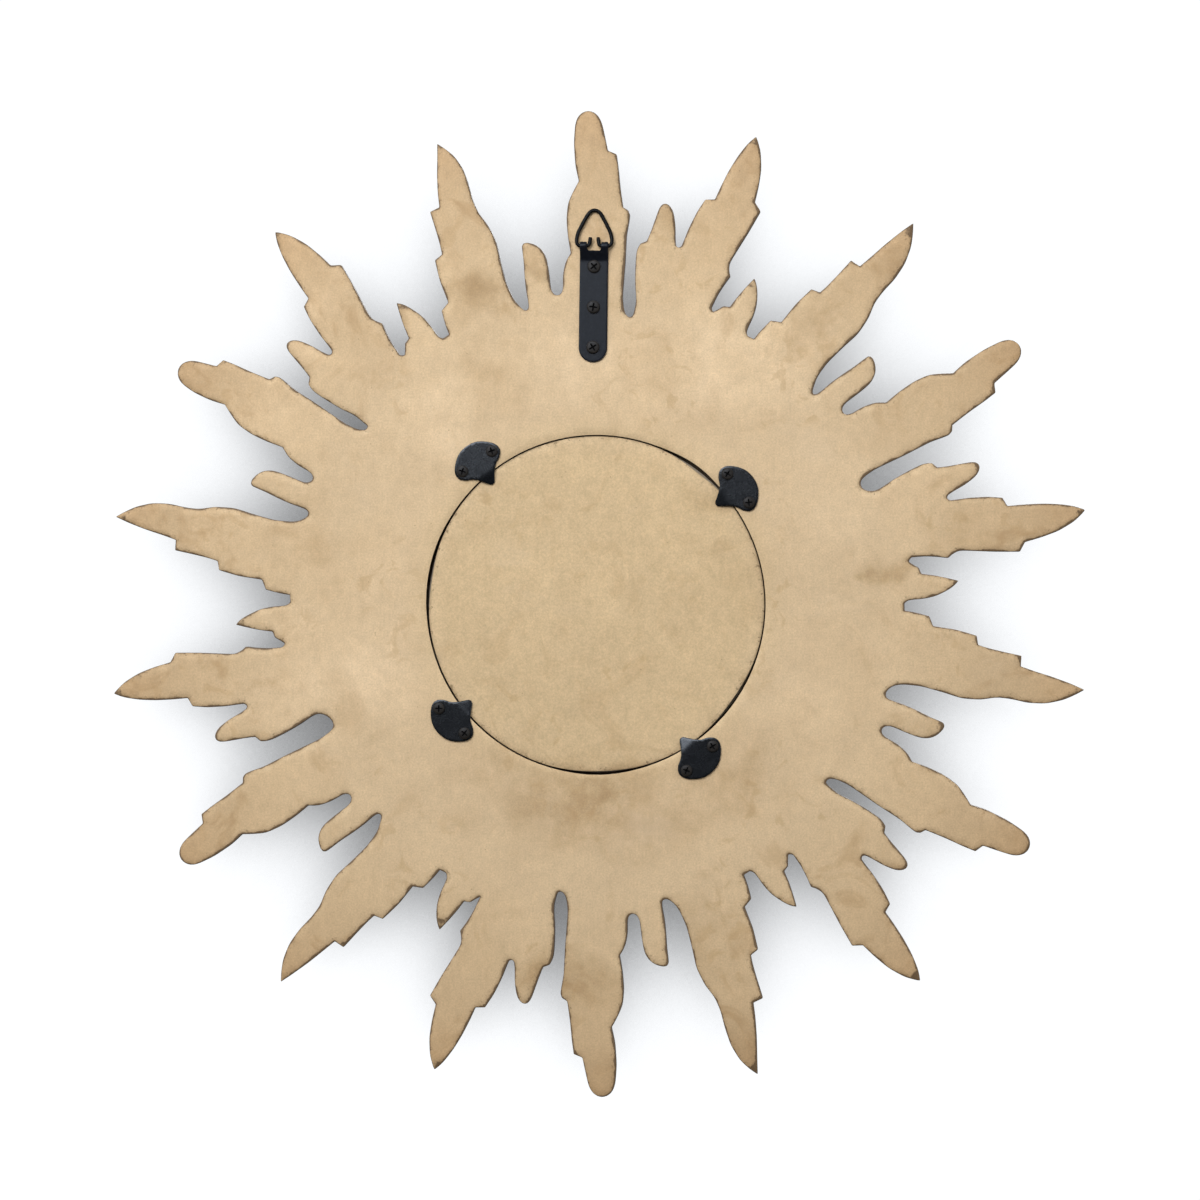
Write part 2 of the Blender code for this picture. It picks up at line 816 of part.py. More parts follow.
def build_strap(coll, cutters):
    wide = STRAP_W / 2 + 2.0 * MM
    bm = bmesh.new()
    left = [bm.verts.new((-wide, along, height)) for along, height in strap_path()]
    edges = [bm.edges.new(pair) for pair in zip(left, left[1:])]
    grown = bmesh.ops.extrude_edge_only(bm, edges=edges)
    right = [item for item in grown["geom"] if isinstance(item, bmesh.types.BMVert)]
    bmesh.ops.translate(bm, verts=right, vec=(2.0 * wide, 0.0, 0.0))
    strap = obj_from_bmesh("hanger_strap", bm, coll, strap_material())
    sheet = strap.modifiers.new("Sheet", "SOLIDIFY")
    sheet.thickness = STRAP_T
    sheet.offset = 0.0
    sheet.use_even_offset = True
    bake_shape(strap)

    tall = 16.0 * MM
    bm = slab(strap_plan(), tall)
    bmesh.ops.translate(bm, verts=bm.verts, vec=(0.0, 0.0, -tall / 4))
    plan = obj_from_bmesh("strap_plan", bm, cutters)
    hide_cutter(plan)
    boolean(strap, plan, "INTERSECT")

    bm = bmesh.new()
    for height in STRAP_SCREWS:
        cylinder_bm(bm, STRAP_HOLE_R, -4.0 * MM, 4.0 * MM, 16, 0.0, height)
    holes = obj_from_bmesh("strap_holes", bm, cutters)
    hide_cutter(holes)
    boolean(strap, holes, "DIFFERENCE")
    return bake_shape(strap, BACK_TO_WORLD @ hanger_matrix())


def build_ring(coll):
    right = [(x, y) for x, y in RING_HALF]
    left = [(-x, y) for x, y in reversed(RING_HALF)]
    path = right + [RING_TOP] + left
    curve = bpy.data.curves.new("hanging_ring", "CURVE")
    curve.dimensions = "3D"
    curve.bevel_depth = WIRE_R
    curve.bevel_resolution = 1
    curve.use_fill_caps = True
    spline = curve.splines.new("POLY")
    spline.points.add(len(path) - 1)
    for point, (x, y) in zip(spline.points, path):
        point.co = (x * MM, y * MM, 0.0, 1.0)
    obj = bpy.data.objects.new("ring_curve", curve)
    bpy.context.scene.collection.objects.link(obj)
    mesh = evaluated_mesh(obj)
    bpy.data.objects.remove(obj, do_unlink=True)
    bm = bmesh.new()
    bm.from_mesh(mesh)
    bmesh.ops.remove_doubles(bm, verts=bm.verts, dist=1e-6)
    lean = Matrix.Rotation(math.radians(-RING_LEAN_DEG), 4, "X")
    tilt = Matrix.Rotation(math.radians(-HANGER_TILT_DEG), 4, "Z")
    bm.transform(BACK_TO_WORLD.to_3x3().to_4x4() @ tilt @ lean)
    ring = obj_from_bmesh("hanging_ring", bm, coll, ring_material())
    ring.location = BACK_TO_WORLD @ Vector((AXIS_ACROSS, AXIS_UP, AXIS_H))
    return ring


def main():
    clear_scene()
    parts = make_collection("sunburst_mirror")
    cutters = make_collection("cutters")
    build_frame(parts, cutters)
    build_board(parts)
    build_cushion(parts)
    build_glass(parts)
    build_clips(parts, cutters)
    build_screws(parts, cutters)
    build_strap(parts, cutters)
    build_ring(parts)


main()
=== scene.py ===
import math

import bmesh
import bpy
import numpy as np
from mathutils import Matrix, Vector
from mathutils.geometry import delaunay_2d_cdt
from mathutils.kdtree import KDTree


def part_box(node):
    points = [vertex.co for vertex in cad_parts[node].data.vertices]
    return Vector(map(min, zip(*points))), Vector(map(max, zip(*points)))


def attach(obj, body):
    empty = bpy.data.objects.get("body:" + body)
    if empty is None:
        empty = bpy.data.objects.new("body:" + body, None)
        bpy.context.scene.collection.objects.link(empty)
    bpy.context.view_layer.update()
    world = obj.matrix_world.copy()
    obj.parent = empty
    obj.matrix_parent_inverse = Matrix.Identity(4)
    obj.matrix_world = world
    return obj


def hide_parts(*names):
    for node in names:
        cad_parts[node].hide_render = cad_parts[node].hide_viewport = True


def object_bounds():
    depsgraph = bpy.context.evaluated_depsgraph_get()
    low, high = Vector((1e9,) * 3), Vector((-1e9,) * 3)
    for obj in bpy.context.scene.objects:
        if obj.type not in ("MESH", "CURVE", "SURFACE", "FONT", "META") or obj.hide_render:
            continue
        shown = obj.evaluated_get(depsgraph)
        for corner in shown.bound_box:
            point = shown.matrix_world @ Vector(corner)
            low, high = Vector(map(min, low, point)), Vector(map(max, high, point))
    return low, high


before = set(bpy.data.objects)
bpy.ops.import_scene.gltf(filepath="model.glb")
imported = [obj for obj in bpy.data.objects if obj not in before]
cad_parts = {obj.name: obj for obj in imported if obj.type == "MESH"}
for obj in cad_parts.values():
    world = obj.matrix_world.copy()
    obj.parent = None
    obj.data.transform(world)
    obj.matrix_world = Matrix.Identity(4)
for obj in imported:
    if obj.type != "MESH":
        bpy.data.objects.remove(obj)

# The sunburst mirror seen from its back. Flat shapes are drawn as (across, up) about the
# middle of the mirror glass, as seen from the back, and "out" stands out of the back.
MM = 0.001
CAD_BOX = [list(corner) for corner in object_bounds()]

# ---- frame ----
OUTLINE_STEP = 0.4 * MM
CORNER_TURN_DEG = 34.0  # a CAD corner that turns more than this stays crisp
CRISP_REACH = 0.5 * MM
FLOWING_REACH = 2.2 * MM
CORNER_R = 1.5 * MM
CORNER_FADE = 4.0 * MM
RIM_LONGEST = 2.2 * MM
RIM_TURN_DEG = 11.0
BACK_ROUND = 0.7 * MM
FRONT_ROUND = 0.7 * MM
SHADED_SIDE = (0.90, -0.44)  # across and up: the edges that face this way get the most painted shade
# painted shade: on those edges the worn tint and line reach this much further in
SHADED_SIDE_SHIFT = 0.6 * MM
WALL_MARK = -2.5  # edge_mm of side walls and of the recess, which are dark all over: dark paint on the walls, painted shade in the recess
NO_EDGE = 60 * MM
PLATE_CENTRE_T = 14.0 * MM
PLATE_TIP_T = 8.0 * MM
TAPER_START_R = 180.0 * MM
TAPER_END_R = 305.0 * MM
SWELL = 4.6 * MM  # how far the flames' edges fall back from their ridges
EDGE_SWELL_W = 9.0 * MM
GROOVE_SWELL_W = 6.5 * MM
GROOVE_FLOOR = 0.4
# A groove starts where the outline turns right by so much within so far: at a step or a notch.
GROOVE_STEP_DEG = 38.0
GROOVE_STEP_REACH = 1.6 * MM
GROOVE_NOTCH_DEG = 80.0
GROOVE_NOTCH_REACH = 7.0 * MM
GROOVE_APART = 7.0 * MM
GROOVE_STRIDE = 1.2 * MM
GROOVE_BEND = 14.0 * MM  # over this length it turns towards the middle
GROOVE_FREE = 6.0 * MM  # past this length it ends where it comes too close to an edge
GROOVE_TO_EDGE = 2.6 * MM
GROOVE_TO_GROOVE = 3.4 * MM
GROOVE_FIRST = 1.6 * MM  # its first point lies this far from the edge
RECESS_R = 104.9 * MM
RECESS_D = 11.1 * MM
SIGHT_R = 94.0 * MM
FOOT_R = 175.0 * MM
PILOT_R = 1.9 * MM
PILOT_D = 9.0 * MM
PILOT_POINT = 0.6 * MM
PILOT_STEPS = 12
RING_STEPS = 216
GAP_TRIM = 0.22 * MM  # the gap round the board is this much narrower than in the CAD
GAP_PLACES = (  # wider stretches of the gap: angle and half width in degrees, extra mm
    (54.0, 10.0, 1.25),
    (166.0, 20.0, 0.75),
    (210.0, 26.0, 0.20),
    (272.0, 13.0, 0.60),
)
BACK_GRID = 4.0 * MM
FRONT_GRID = 1.8 * MM
# Front ring from its sight edge out to its foot: radius and height before the back plane, mm.
RING_PROFILE = (
    (94, 18.6), (94.6, 20.2), (96.6, 22.6), (98.9, 24.6), (100, 26),
    (100.6, 28.4), (102, 30.4), (104.6, 31.3), (107, 30.3), (108.2, 29.2),
    (109.2, 32), (111, 34.6), (114.6, 37), (119, 37.9), (124, 37.2),
    (128.6, 34.6), (132.4, 30.4), (135.4, 26.4), (138.6, 23.4), (143, 21.3),
    (144.4, 19.6), (147, 19.2), (152, 19.5), (160, 18.4), (167, 17.1),
    (171, 16.1), (173.4, 14.9), (174.6, 13.6),
)

# ---- board and glass ----
BOARD_TOP = 1.5 * MM
BOARD_T = 3.0 * MM
BOARD_ROUND = 0.14 * MM
BOARD_STEP = 1.2 * MM
BOARD_GRID = 5.0 * MM
GLASS_TOP = 8.1 * MM
GLASS_T = 2.7 * MM
GLASS_R = 103.9 * MM
GLASS_BEVEL_R = 84.0 * MM
GLASS_BEVEL_D = 0.9 * MM

# ---- clips ----
SHEET_T = 1.2 * MM
SHEET_HOLE_R = 1.95 * MM
LIFT = 0.25 * MM
CLIP_SCREW_X = 11.0 * MM
TAB_FOLD_Y = -10.2 * MM
TAB_SLOPE_DEG = 12.0
TAB_BEND = 1.6 * MM
CLIP_ROUND = 0.38 * MM
CLIP_GRID = 1.1 * MM
CLIP_SCREW_TURN_DEG = 37.0  # from one screw to the next, so that no two crosses line up
CLIPS = (
    ("clip_upper_left", 129.7, 115.0 * MM, -5.0),
    ("clip_upper_right", 39.2, 113.3 * MM, -2.5),
    ("clip_lower_left", 218.9, 114.6 * MM, 7.0),
    ("clip_lower_right", 304.0, 114.5 * MM, 9.0),
)
CLIP_HALF = (
    (0, 11.4), (-6.5, 10.2), (-12.2, 6.2), (-15.6, 1.6), (-15.6, -2.6),
    (-12.6, -5.8), (-8.6, -7.9), (-6, -10.4), (-3.4, -13.9), (-1.5, -16.6),
)
CLIP_TIP = (0.0, -17.2)

# ---- screws ----
CLIP_HEAD_R = 3.6 * MM
STRAP_HEAD_R = 4.0 * MM
HEAD_H = 1.9 * MM
# Share of the head's radius and height, from its seat to the edge of its domed face.
HEAD_PROFILE = ((0.985, 0.0), (1.0, 0.10), (1.0, 0.46), (0.975, 0.64), (0.925, 0.76))
HEAD_GRID = 0.34 * MM
DOME_DROP = 0.20
DOME_POWER = 2.6
CROSS_ARM = 0.66  # of the head's radius
CROSS_HALF = 0.15
CROSS_TIP = 0.80  # half width at an arm's tip, of CROSS_HALF
CROSS_STEP = 0.12 * MM
CROSS_WALL = 0.10 * MM
CROSS_DEPTH = 0.86  # of the head's height
CROSS_RISE = 0.40  # by how much less at 0.6 of the head's radius
SCREW_STEPS = 40
THREAD_ROWS = 58
THREAD_SHARP = 4.2  # 2 would be a plain zigzag; more leaves flat ground between crests
POINT_START = 0.72  # share of the shank where its point starts
POINT_SLIM = 0.86
SHANK_L = 9.0 * MM
CREST_R = 1.6 * MM
CORE_R = 1.15 * MM
PITCH = 1.25 * MM
SEAT = LIFT + SHEET_T + 0.1 * MM

# ---- strap hanger and ring ----
STRAP_W = 17.5 * MM
ROLL_R = 2.0 * MM
AXIS_H = LIFT + SHEET_T / 2 + ROLL_R
AXIS_ACROSS = -1.0 * MM
AXIS_UP = 221.1 * MM
HANGER_TILT_DEG = 0.8
STRAP_FLAT_TOP = -8.4 * MM
STRAP_END = -71.6 * MM
STRAP_SCREWS = (-12.6 * MM, -37.6 * MM, -62.4 * MM)
STRAP_ROUND = 0.3 * MM
STRAP_GRID = 0.65 * MM
STRAP_FOOT_END = -5.2 * MM  # the ramp's foot bends more gently than its roll
STRAP_SCREW_TURN_DEG = 41.0
PLATE_STEP = 0.5 * MM  # spacing of points along the outlines of clips and strap
CURVE_PARTS = 8  # points drawn on a smooth curve for each point given
NOTCH_HALF_TOP = 4.5 * MM
NOTCH_HALF_END = 3.8 * MM
NOTCH_END = -3.0 * MM
NOTCH_TAPER = 2.5 * MM
ROLL_STOP_DEG = -78.0
WIRE_R = 1.16 * MM  # 0.04 mm less than in the CAD, to stay clear of the rolls
WIRE_STEPS = 20
RING_LEAN_DEG = 3.6
RING_HALF = (
    (2.4, 5.4), (2.7, 2.6), (3.1, 0.9), (4.3, 0), (8.7, 0),
    (10.1, 0.7), (10.8, 2.2), (10.8, 4.4), (10, 8), (8.2, 12),
    (5.9, 16.4), (4, 19.6), (2.5, 21.3),
)
RING_TOP = (0.0, 22.2)

# ---- camera ----
VIEW_AZIMUTH = 182.5
VIEW_DISTANCE = 2.4
FIELD_WIDTH = 0.741
SENSOR_MM = 36.0
AIM_ACROSS = 2.5 * MM
AIM_UP = 2.7 * MM

glass_low, glass_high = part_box("mirror_glass")
CENTRE_X = (glass_low.x + glass_high.x) / 2
CENTRE_Z = (glass_low.z + glass_high.z) / 2
# (across, up, out) to the world: across runs towards -X and out towards +Y.
BACK_TO_WORLD = Matrix(
    (
        (-1.0, 0.0, 0.0, CENTRE_X),
        (0.0, 0.0, 1.0, 0.0),
        (0.0, 1.0, 0.0, CENTRE_Z),
        (0.0, 0.0, 0.0, 1.0),
    )
)


# ---- outlines


def resample(points, step, closed=True):
    """Points spaced evenly along a line of straight runs."""
    line = np.asarray(points, float)
    if closed:
        line = np.vstack([line, line[:1]])
    runs = np.linalg.norm(np.diff(line, axis=0), axis=1)
    along = np.concatenate([[0.0], np.cumsum(runs)])
    count = max(8, int(round(along[-1] / step)))
    marks = np.linspace(0.0, along[-1], count + 1)
    if closed:
        marks = marks[:-1]
    return np.stack([np.interp(marks, along, line[:, k]) for k in range(line.shape[1])], 1)


def soften(points, step, reach):
    """A closed, evenly spaced outline smoothed over a distance."""
    width = max(1, int(3 * reach / step))
    offsets = range(-width, width + 1)
    weights = [math.exp(-0.5 * (k * step / reach) ** 2) for k in offsets]
    total = sum(weights)
    smooth = np.zeros_like(points)
    for k, weight in zip(offsets, weights):
        smooth += np.roll(points, k, axis=0) * (weight / total)
    return smooth


def rounded(points, step, reach):
    """A closed outline, evenly spaced and smoothed."""
    return soften(resample(points, step), step, reach)


def turn_between(back, ahead):
    """How far each step ahead turns left of the step back, in radians."""
    cross = back[:, 0] * ahead[:, 1] - back[:, 1] * ahead[:, 0]
    return np.arctan2(cross, (back * ahead).sum(1))


def turning(points, reach):
    """How far the closed outline turns left, in radians, within reach points of each."""
    back = points - np.roll(points, reach, axis=0)
    ahead = np.roll(points, -reach, axis=0) - points
    return turn_between(back, ahead)


def signed_area(points):
    ahead = np.roll(points, -1, axis=0)
    return 0.5 * float((points[:, 0] * ahead[:, 1] - points[:, 1] * ahead[:, 0]).sum())


def leftward(points):
    """The outline, run so that its inside is on its left."""
    return points[::-1] if signed_area(points) < 0.0 else points


def unit(rows):
    return rows / np.linalg.norm(rows, axis=1)[:, None]


def relax(line, times, free=True):
    """Moves a line's points, but not its ends, towards the middle of their neighbours."""
    for _ in range(times):
        moved = 0.25 * line[:-2] + 0.5 * line[1:-1] + 0.25 * line[2:]
        line[1:-1] = np.where(free, moved, line[1:-1])


def cap_loops(node, level):
    """Closed outlines of a CAD node's flat face at a height out of the back."""
    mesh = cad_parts[node].data
    places, order, edges = [], {}, {}
    for poly in mesh.polygons:
        corners = [mesh.vertices[v].co for v in poly.vertices]
        if any(abs(co.y - level) > 2e-5 for co in corners):
            continue
        ids = []
        for co in corners:
            key = (round(co.x * 1e6), round(co.z * 1e6))
            if key not in order:
                order[key] = len(places)
                places.append((CENTRE_X - co.x, co.z - CENTRE_Z))
            ids.append(order[key])
        for first, second in zip(ids, ids[1:] + ids[:1]):
            edges[(first, second)] = edges.get((first, second), 0) + 1
    following = {}
    for first, second in edges:
        if (second, first) not in edges:
            following[first] = second
    loops = []
    while following:
        start, spot = following.popitem()
        loop = [start]
        while spot != start:
            loop.append(spot)
            spot = following.pop(spot)
        loops.append(np.array([places[i] for i in loop]))
    return sorted(loops, key=lambda loop: -abs(signed_area(loop)))


def inset(points, depth):
    """A closed outline moved to its left, by less where it turns tightly."""
    back = points - np.roll(points, 1, axis=0)
    ahead = np.roll(points, -1, axis=0) - points
    run_back = np.linalg.norm(back, axis=1)
    run_ahead = np.linalg.norm(ahead, axis=1)
    back /= run_back[:, None]
    ahead /= run_ahead[:, None]
    turn = turn_between(back, ahead)
    radius = 0.5 * (run_back + run_ahead) / np.maximum(turn, 1e-6)
    room = np.where(turn > 0.02, np.minimum(depth, 0.7 * radius), depth)
    for _ in range(30):
        room = np.minimum(room, np.roll(room, 1) + 0.22 * run_back)
        room = np.minimum(room, np.roll(room, -1) + 0.22 * run_ahead)
    heading = unit(back + ahead)
    normal = np.stack([-heading[:, 1], heading[:, 0]], 1)
    reach = room / np.maximum(np.cos(turn / 2), 0.6)
    return points + normal * reach[:, None]


def circle(radius, count, middle=(0.0, 0.0), left=True):
    angles = np.linspace(0.0, 2 * math.pi, count, endpoint=False)
    if not left:
        angles = -angles
    spots = [(middle[0] + radius * math.cos(a), middle[1] + radius * math.sin(a)) for a in angles]
    return np.array(spots)


def circle_back(radius):
    return circle(radius, RING_STEPS, left=False)


def recess_circle(radius):
    """A circle a little wider where the photo shows the gap round the board open up."""
    spots = circle(radius - GAP_TRIM, RING_STEPS, left=False)
    for spot in spots:
        angle = math.degrees(math.atan2(spot[1], spot[0]))
        for middle, half, extra in GAP_PLACES:
            away = (angle - middle + 180.0) % 360.0 - 180.0
            spot *= 1.0 + extra * MM / radius * math.exp(-((away / half) ** 2))
    return spots


def tree_of(points):
    tree = KDTree(len(points))
    for index, point in enumerate(points):
        tree.insert((point[0], point[1], 0.0), index)
    tree.balance()
    return tree


def distance(tree, point):
    return tree.find((point[0], point[1], 0.0))[2]


def nearest(tree, points):
    return np.array([distance(tree, point) for point in points])


def grid_inside(outer, spacing, margin, holes=()):
    """Staggered grid points inside an outline, clear of it and of round holes."""
    low, high = outer.min(0), outer.max(0)
    ahead = np.roll(outer, -1, axis=0)
    found = []
    row_gap = spacing * math.sqrt(0.75)
    for row in range(int((high[1] - low[1]) / row_gap) + 1):
        level = low[1] + (row + 0.37) * row_gap
        crosses = (outer[:, 1] > level) != (ahead[:, 1] > level)
        first, second = outer[crosses], ahead[crosses]
        share = (level - first[:, 1]) / (second[:, 1] - first[:, 1])
        cuts = np.sort(first[:, 0] + share * (second[:, 0] - first[:, 0]))
        shift = 0.5 * spacing * (row % 2)
        for left, right in zip(cuts[0::2], cuts[1::2]):
            start = math.ceil((left + margin - shift) / spacing)
            stop = math.floor((right - margin - shift) / spacing)
            found += [(k * spacing + shift, level) for k in range(start, stop + 1)]
    for middle, radius in holes:
        found = [p for p in found if math.hypot(p[0] - middle[0], p[1] - middle[1]) > radius]
    tree = tree_of(outer)
    return [p for p in found if distance(tree, p) > margin]


def fill(loops, inner, hollow=True):
    """Triangles over the first loop through all points; the other loops are holes if hollow."""
    coords = [Vector(point) for loop in [*loops, inner] for point in loop]
    owner, edges, start = [], [], 0
    for number, loop in enumerate(loops):
        count = len(loop)
        owner += [number] * count
        edges += [(start + i, start + (i + 1) % count) for i in range(count)]
        start += count
    owner += [-1] * len(inner)
    whole = [list(range(len(loops[0])))]
    verts, _, faces, origins, _, inside = delaunay_2d_cdt(coords, edges, whole, 1, 1e-8, True)
    if len(verts) != len(coords):
        raise RuntimeError("an outline crosses itself")
    source = [origin[0] for origin in origins]
    triangles = []
    for face, parents in zip(faces, inside):
        corners = [source[i] for i in face]
        owners = {owner[i] for i in corners}
        if parents and not (hollow and len(owners) == 1 and owners.pop() > 0):
            triangles.append(tuple(corners))
    return triangles


# ---- meshes


def add_object(name, data):
    obj = bpy.data.objects.new(name, data)
    bpy.context.scene.collection.objects.link(obj)
    return obj


class Shell:
    """Vertices and faces of one closed piece, gathered before they become a mesh."""

    def __init__(self):
        self.verts = []
        self.faces = []

    def add(self, points, out):
        """Vertices at (across, up) points, at one height out or one for each."""
        start = len(self.verts)
        heights = np.broadcast_to(np.asarray(out, float), (len(points),))
        self.verts += [(p[0], p[1], h) for p, h in zip(points, heights)]
        return list(range(start, start + len(points)))

    def bridge(self, first, second):
        count = len(first)
        for i in range(count):
            j = (i + 1) % count
            self.faces.append((first[i], first[j], second[j], second[i]))

    def chain(self, rings):
        for first, second in zip(rings, rings[1:]):
            self.bridge(first, second)

    def fan(self, ring, across, up, out):
        tip = self.add([(across, up)], out)[0]
        count = len(ring)
        for i in range(count):
            self.faces.append((ring[i], ring[(i + 1) % count], tip))

    def build(self, name, matrix=BACK_TO_WORLD, sharp_deg=32.0, mapping=None):
        mesh = bpy.data.meshes.new(name)
        verts = self.verts if mapping is None else [mapping(*vert) for vert in self.verts]
        mesh.from_pydata(verts, [], self.faces)
        bm = bmesh.new()
        bm.from_mesh(mesh)
        bmesh.ops.recalc_face_normals(bm, faces=bm.faces)
        if bm.calc_volume(signed=True) < 0.0:
            bmesh.ops.reverse_faces(bm, faces=bm.faces)
        loose = sum(1 for edge in bm.edges if not edge.is_manifold)
        bm.to_mesh(mesh)
        bm.free()
        if loose:
            raise RuntimeError(f"{name} has {loose} open edges")
        mesh.transform(matrix)
        mesh.shade_smooth()
        mesh.set_sharp_from_angle(angle=math.radians(sharp_deg))
        return add_object(name, mesh)


def add_plate(shell, outer, holes, thickness, bevel, inner):
    """A flat plate about height 0 with rounded edges round its outline and its holes."""
    top = thickness / 2
    upper, lower, flat_loops = [], [], []
    for loop in [outer] + holes:
        rim = inset(loop, bevel)
        soft = inset(loop, 0.3 * bevel)
        rings = [
            shell.add(rim, top),
            shell.add(soft, top - 0.3 * bevel),
            shell.add(loop, top - bevel),
            shell.add(loop, bevel - top),
            shell.add(soft, 0.3 * bevel - top),
            shell.add(rim, -top),
        ]
        shell.chain(rings)
        upper += rings[0]
        lower += rings[-1]
        flat_loops.append(rim)
    upper += shell.add(inner, top)
    lower += shell.add(inner, -top)
    for a, b, c in fill(flat_loops, inner):
        shell.faces.append((upper[a], upper[b], upper[c]))
        shell.faces.append((lower[c], lower[b], lower[a]))


def revolve(shell, profile, steps):
    """Rings of a profile of (radius, out) from axis to axis."""
    rings = [shell.add(circle(r, steps), out) for r, out in profile[1:-1]]
    shell.chain(rings)
    shell.fan(rings[0], 0.0, 0.0, profile[0][1])
    shell.fan(rings[-1], 0.0, 0.0, profile[-1][1])


def float_attribute(obj, name, values):
    layer = obj.data.attributes.new(name, "FLOAT", "POINT")
    layer.data.foreach_set("value", np.asarray(values, np.float32))


# ---- sunburst frame


def flame_outline():
    """The frame's outline: crisp at its carved corners, smooth between them."""
    rough = leftward(cap_loops("sunburst_frame", 0.0)[0])
    corners = rough[np.abs(turning(rough, 1)) > math.radians(CORNER_TURN_DEG)]
    even = resample(rough, OUTLINE_STEP)
    crisp = soften(even, OUTLINE_STEP, CRISP_REACH)
    flowing = soften(even, OUTLINE_STEP, FLOWING_REACH)
    away = nearest(tree_of(corners), even)
    share = np.clip((away - CORNER_R) / CORNER_FADE, 0.0, 1.0)
    share = (share * share * (3.0 - 2.0 * share))[:, None]
    return crisp * (1.0 - share) + flowing * share


def thin_out(points, longest, most_turn):
    """Fewer points along a dense outline, but close together where it turns."""
    ahead = np.roll(points, -1, axis=0) - points
    runs = np.linalg.norm(ahead, axis=1)
    headings = np.arctan2(ahead[:, 1], ahead[:, 0])
    kept, length, turned = [0], 0.0, 0.0
    for i in range(1, len(points)):
        length += runs[i - 1]
        change = (headings[i] - headings[i - 1] + math.pi) % (2 * math.pi) - math.pi
        turned += abs(change)
        if length + runs[i] > longest or turned > most_turn:
            kept.append(i)
            length, turned = 0.0, 0.0
    return points[kept]


def plate_thickness(radius):
    share = np.clip((radius - TAPER_START_R) / (TAPER_END_R - TAPER_START_R), 0.0, 1.0)
    return PLATE_CENTRE_T + (PLATE_TIP_T - PLATE_CENTRE_T) * share


def groove_lines(outline):
    """Carved lines that run in from the steps and notches between the flames."""
    short = -turning(outline, int(GROOVE_STEP_REACH / OUTLINE_STEP))
    long = -turning(outline, int(GROOVE_NOTCH_REACH / OUTLINE_STEP))
    short /= math.radians(GROOVE_STEP_DEG)
    score = np.maximum(short, long / math.radians(GROOVE_NOTCH_DEG))
    edge_tree = tree_of(outline)
    ahead = np.roll(outline, -2, axis=0) - np.roll(outline, 2, axis=0)
    inward = unit(np.stack([-ahead[:, 1], ahead[:, 0]], 1))
    starts = []
    for i in np.argsort(-score):
        if score[i] < 1.0:
            break
        if all(np.linalg.norm(outline[i] - outline[j]) > GROOVE_APART for j in starts):
            starts.append(int(i))
    starts.sort(key=lambda i: float(np.linalg.norm(outline[i])))
    drawn = []
    for i in starts:
        spot = outline[i].copy()
        line, travelled = [], 0.0
        while np.linalg.norm(spot) > FOOT_R + 2.0 * MM:
            home = -spot / np.linalg.norm(spot)
            share = min(1.0, travelled / GROOVE_BEND)
            heading = inward[i] * (1.0 - share) + home * (0.35 + share)
            spot = spot + heading / np.linalg.norm(heading) * GROOVE_STRIDE
            travelled += GROOVE_STRIDE
            clear = distance(edge_tree, spot)
            if travelled > GROOVE_FREE and clear < GROOVE_TO_EDGE:
                break
            room = [abs(p[0] - spot[0]) + abs(p[1] - spot[1]) for p in drawn]
            if room and min(room) < GROOVE_TO_GROOVE:
                break
            if clear > GROOVE_FIRST:
                line.append(tuple(spot))
        drawn += line
    return drawn


def swell(distance, width):
    near = np.clip(distance / width, 0.0, 1.0)
    return np.sqrt(1.0 - (1.0 - near) ** 2)


def front_height(points, edge, groove):
    """How far the carved front stands before the back plane."""
    full = plate_thickness(np.linalg.norm(points, axis=1))
    carved = GROOVE_FLOOR + (1.0 - GROOVE_FLOOR) * swell(groove, GROOVE_SWELL_W)
    rise = np.minimum(swell(edge, EDGE_SWELL_W), carved)
    return full - SWELL * (full / PLATE_CENTRE_T) * (1.0 - rise)


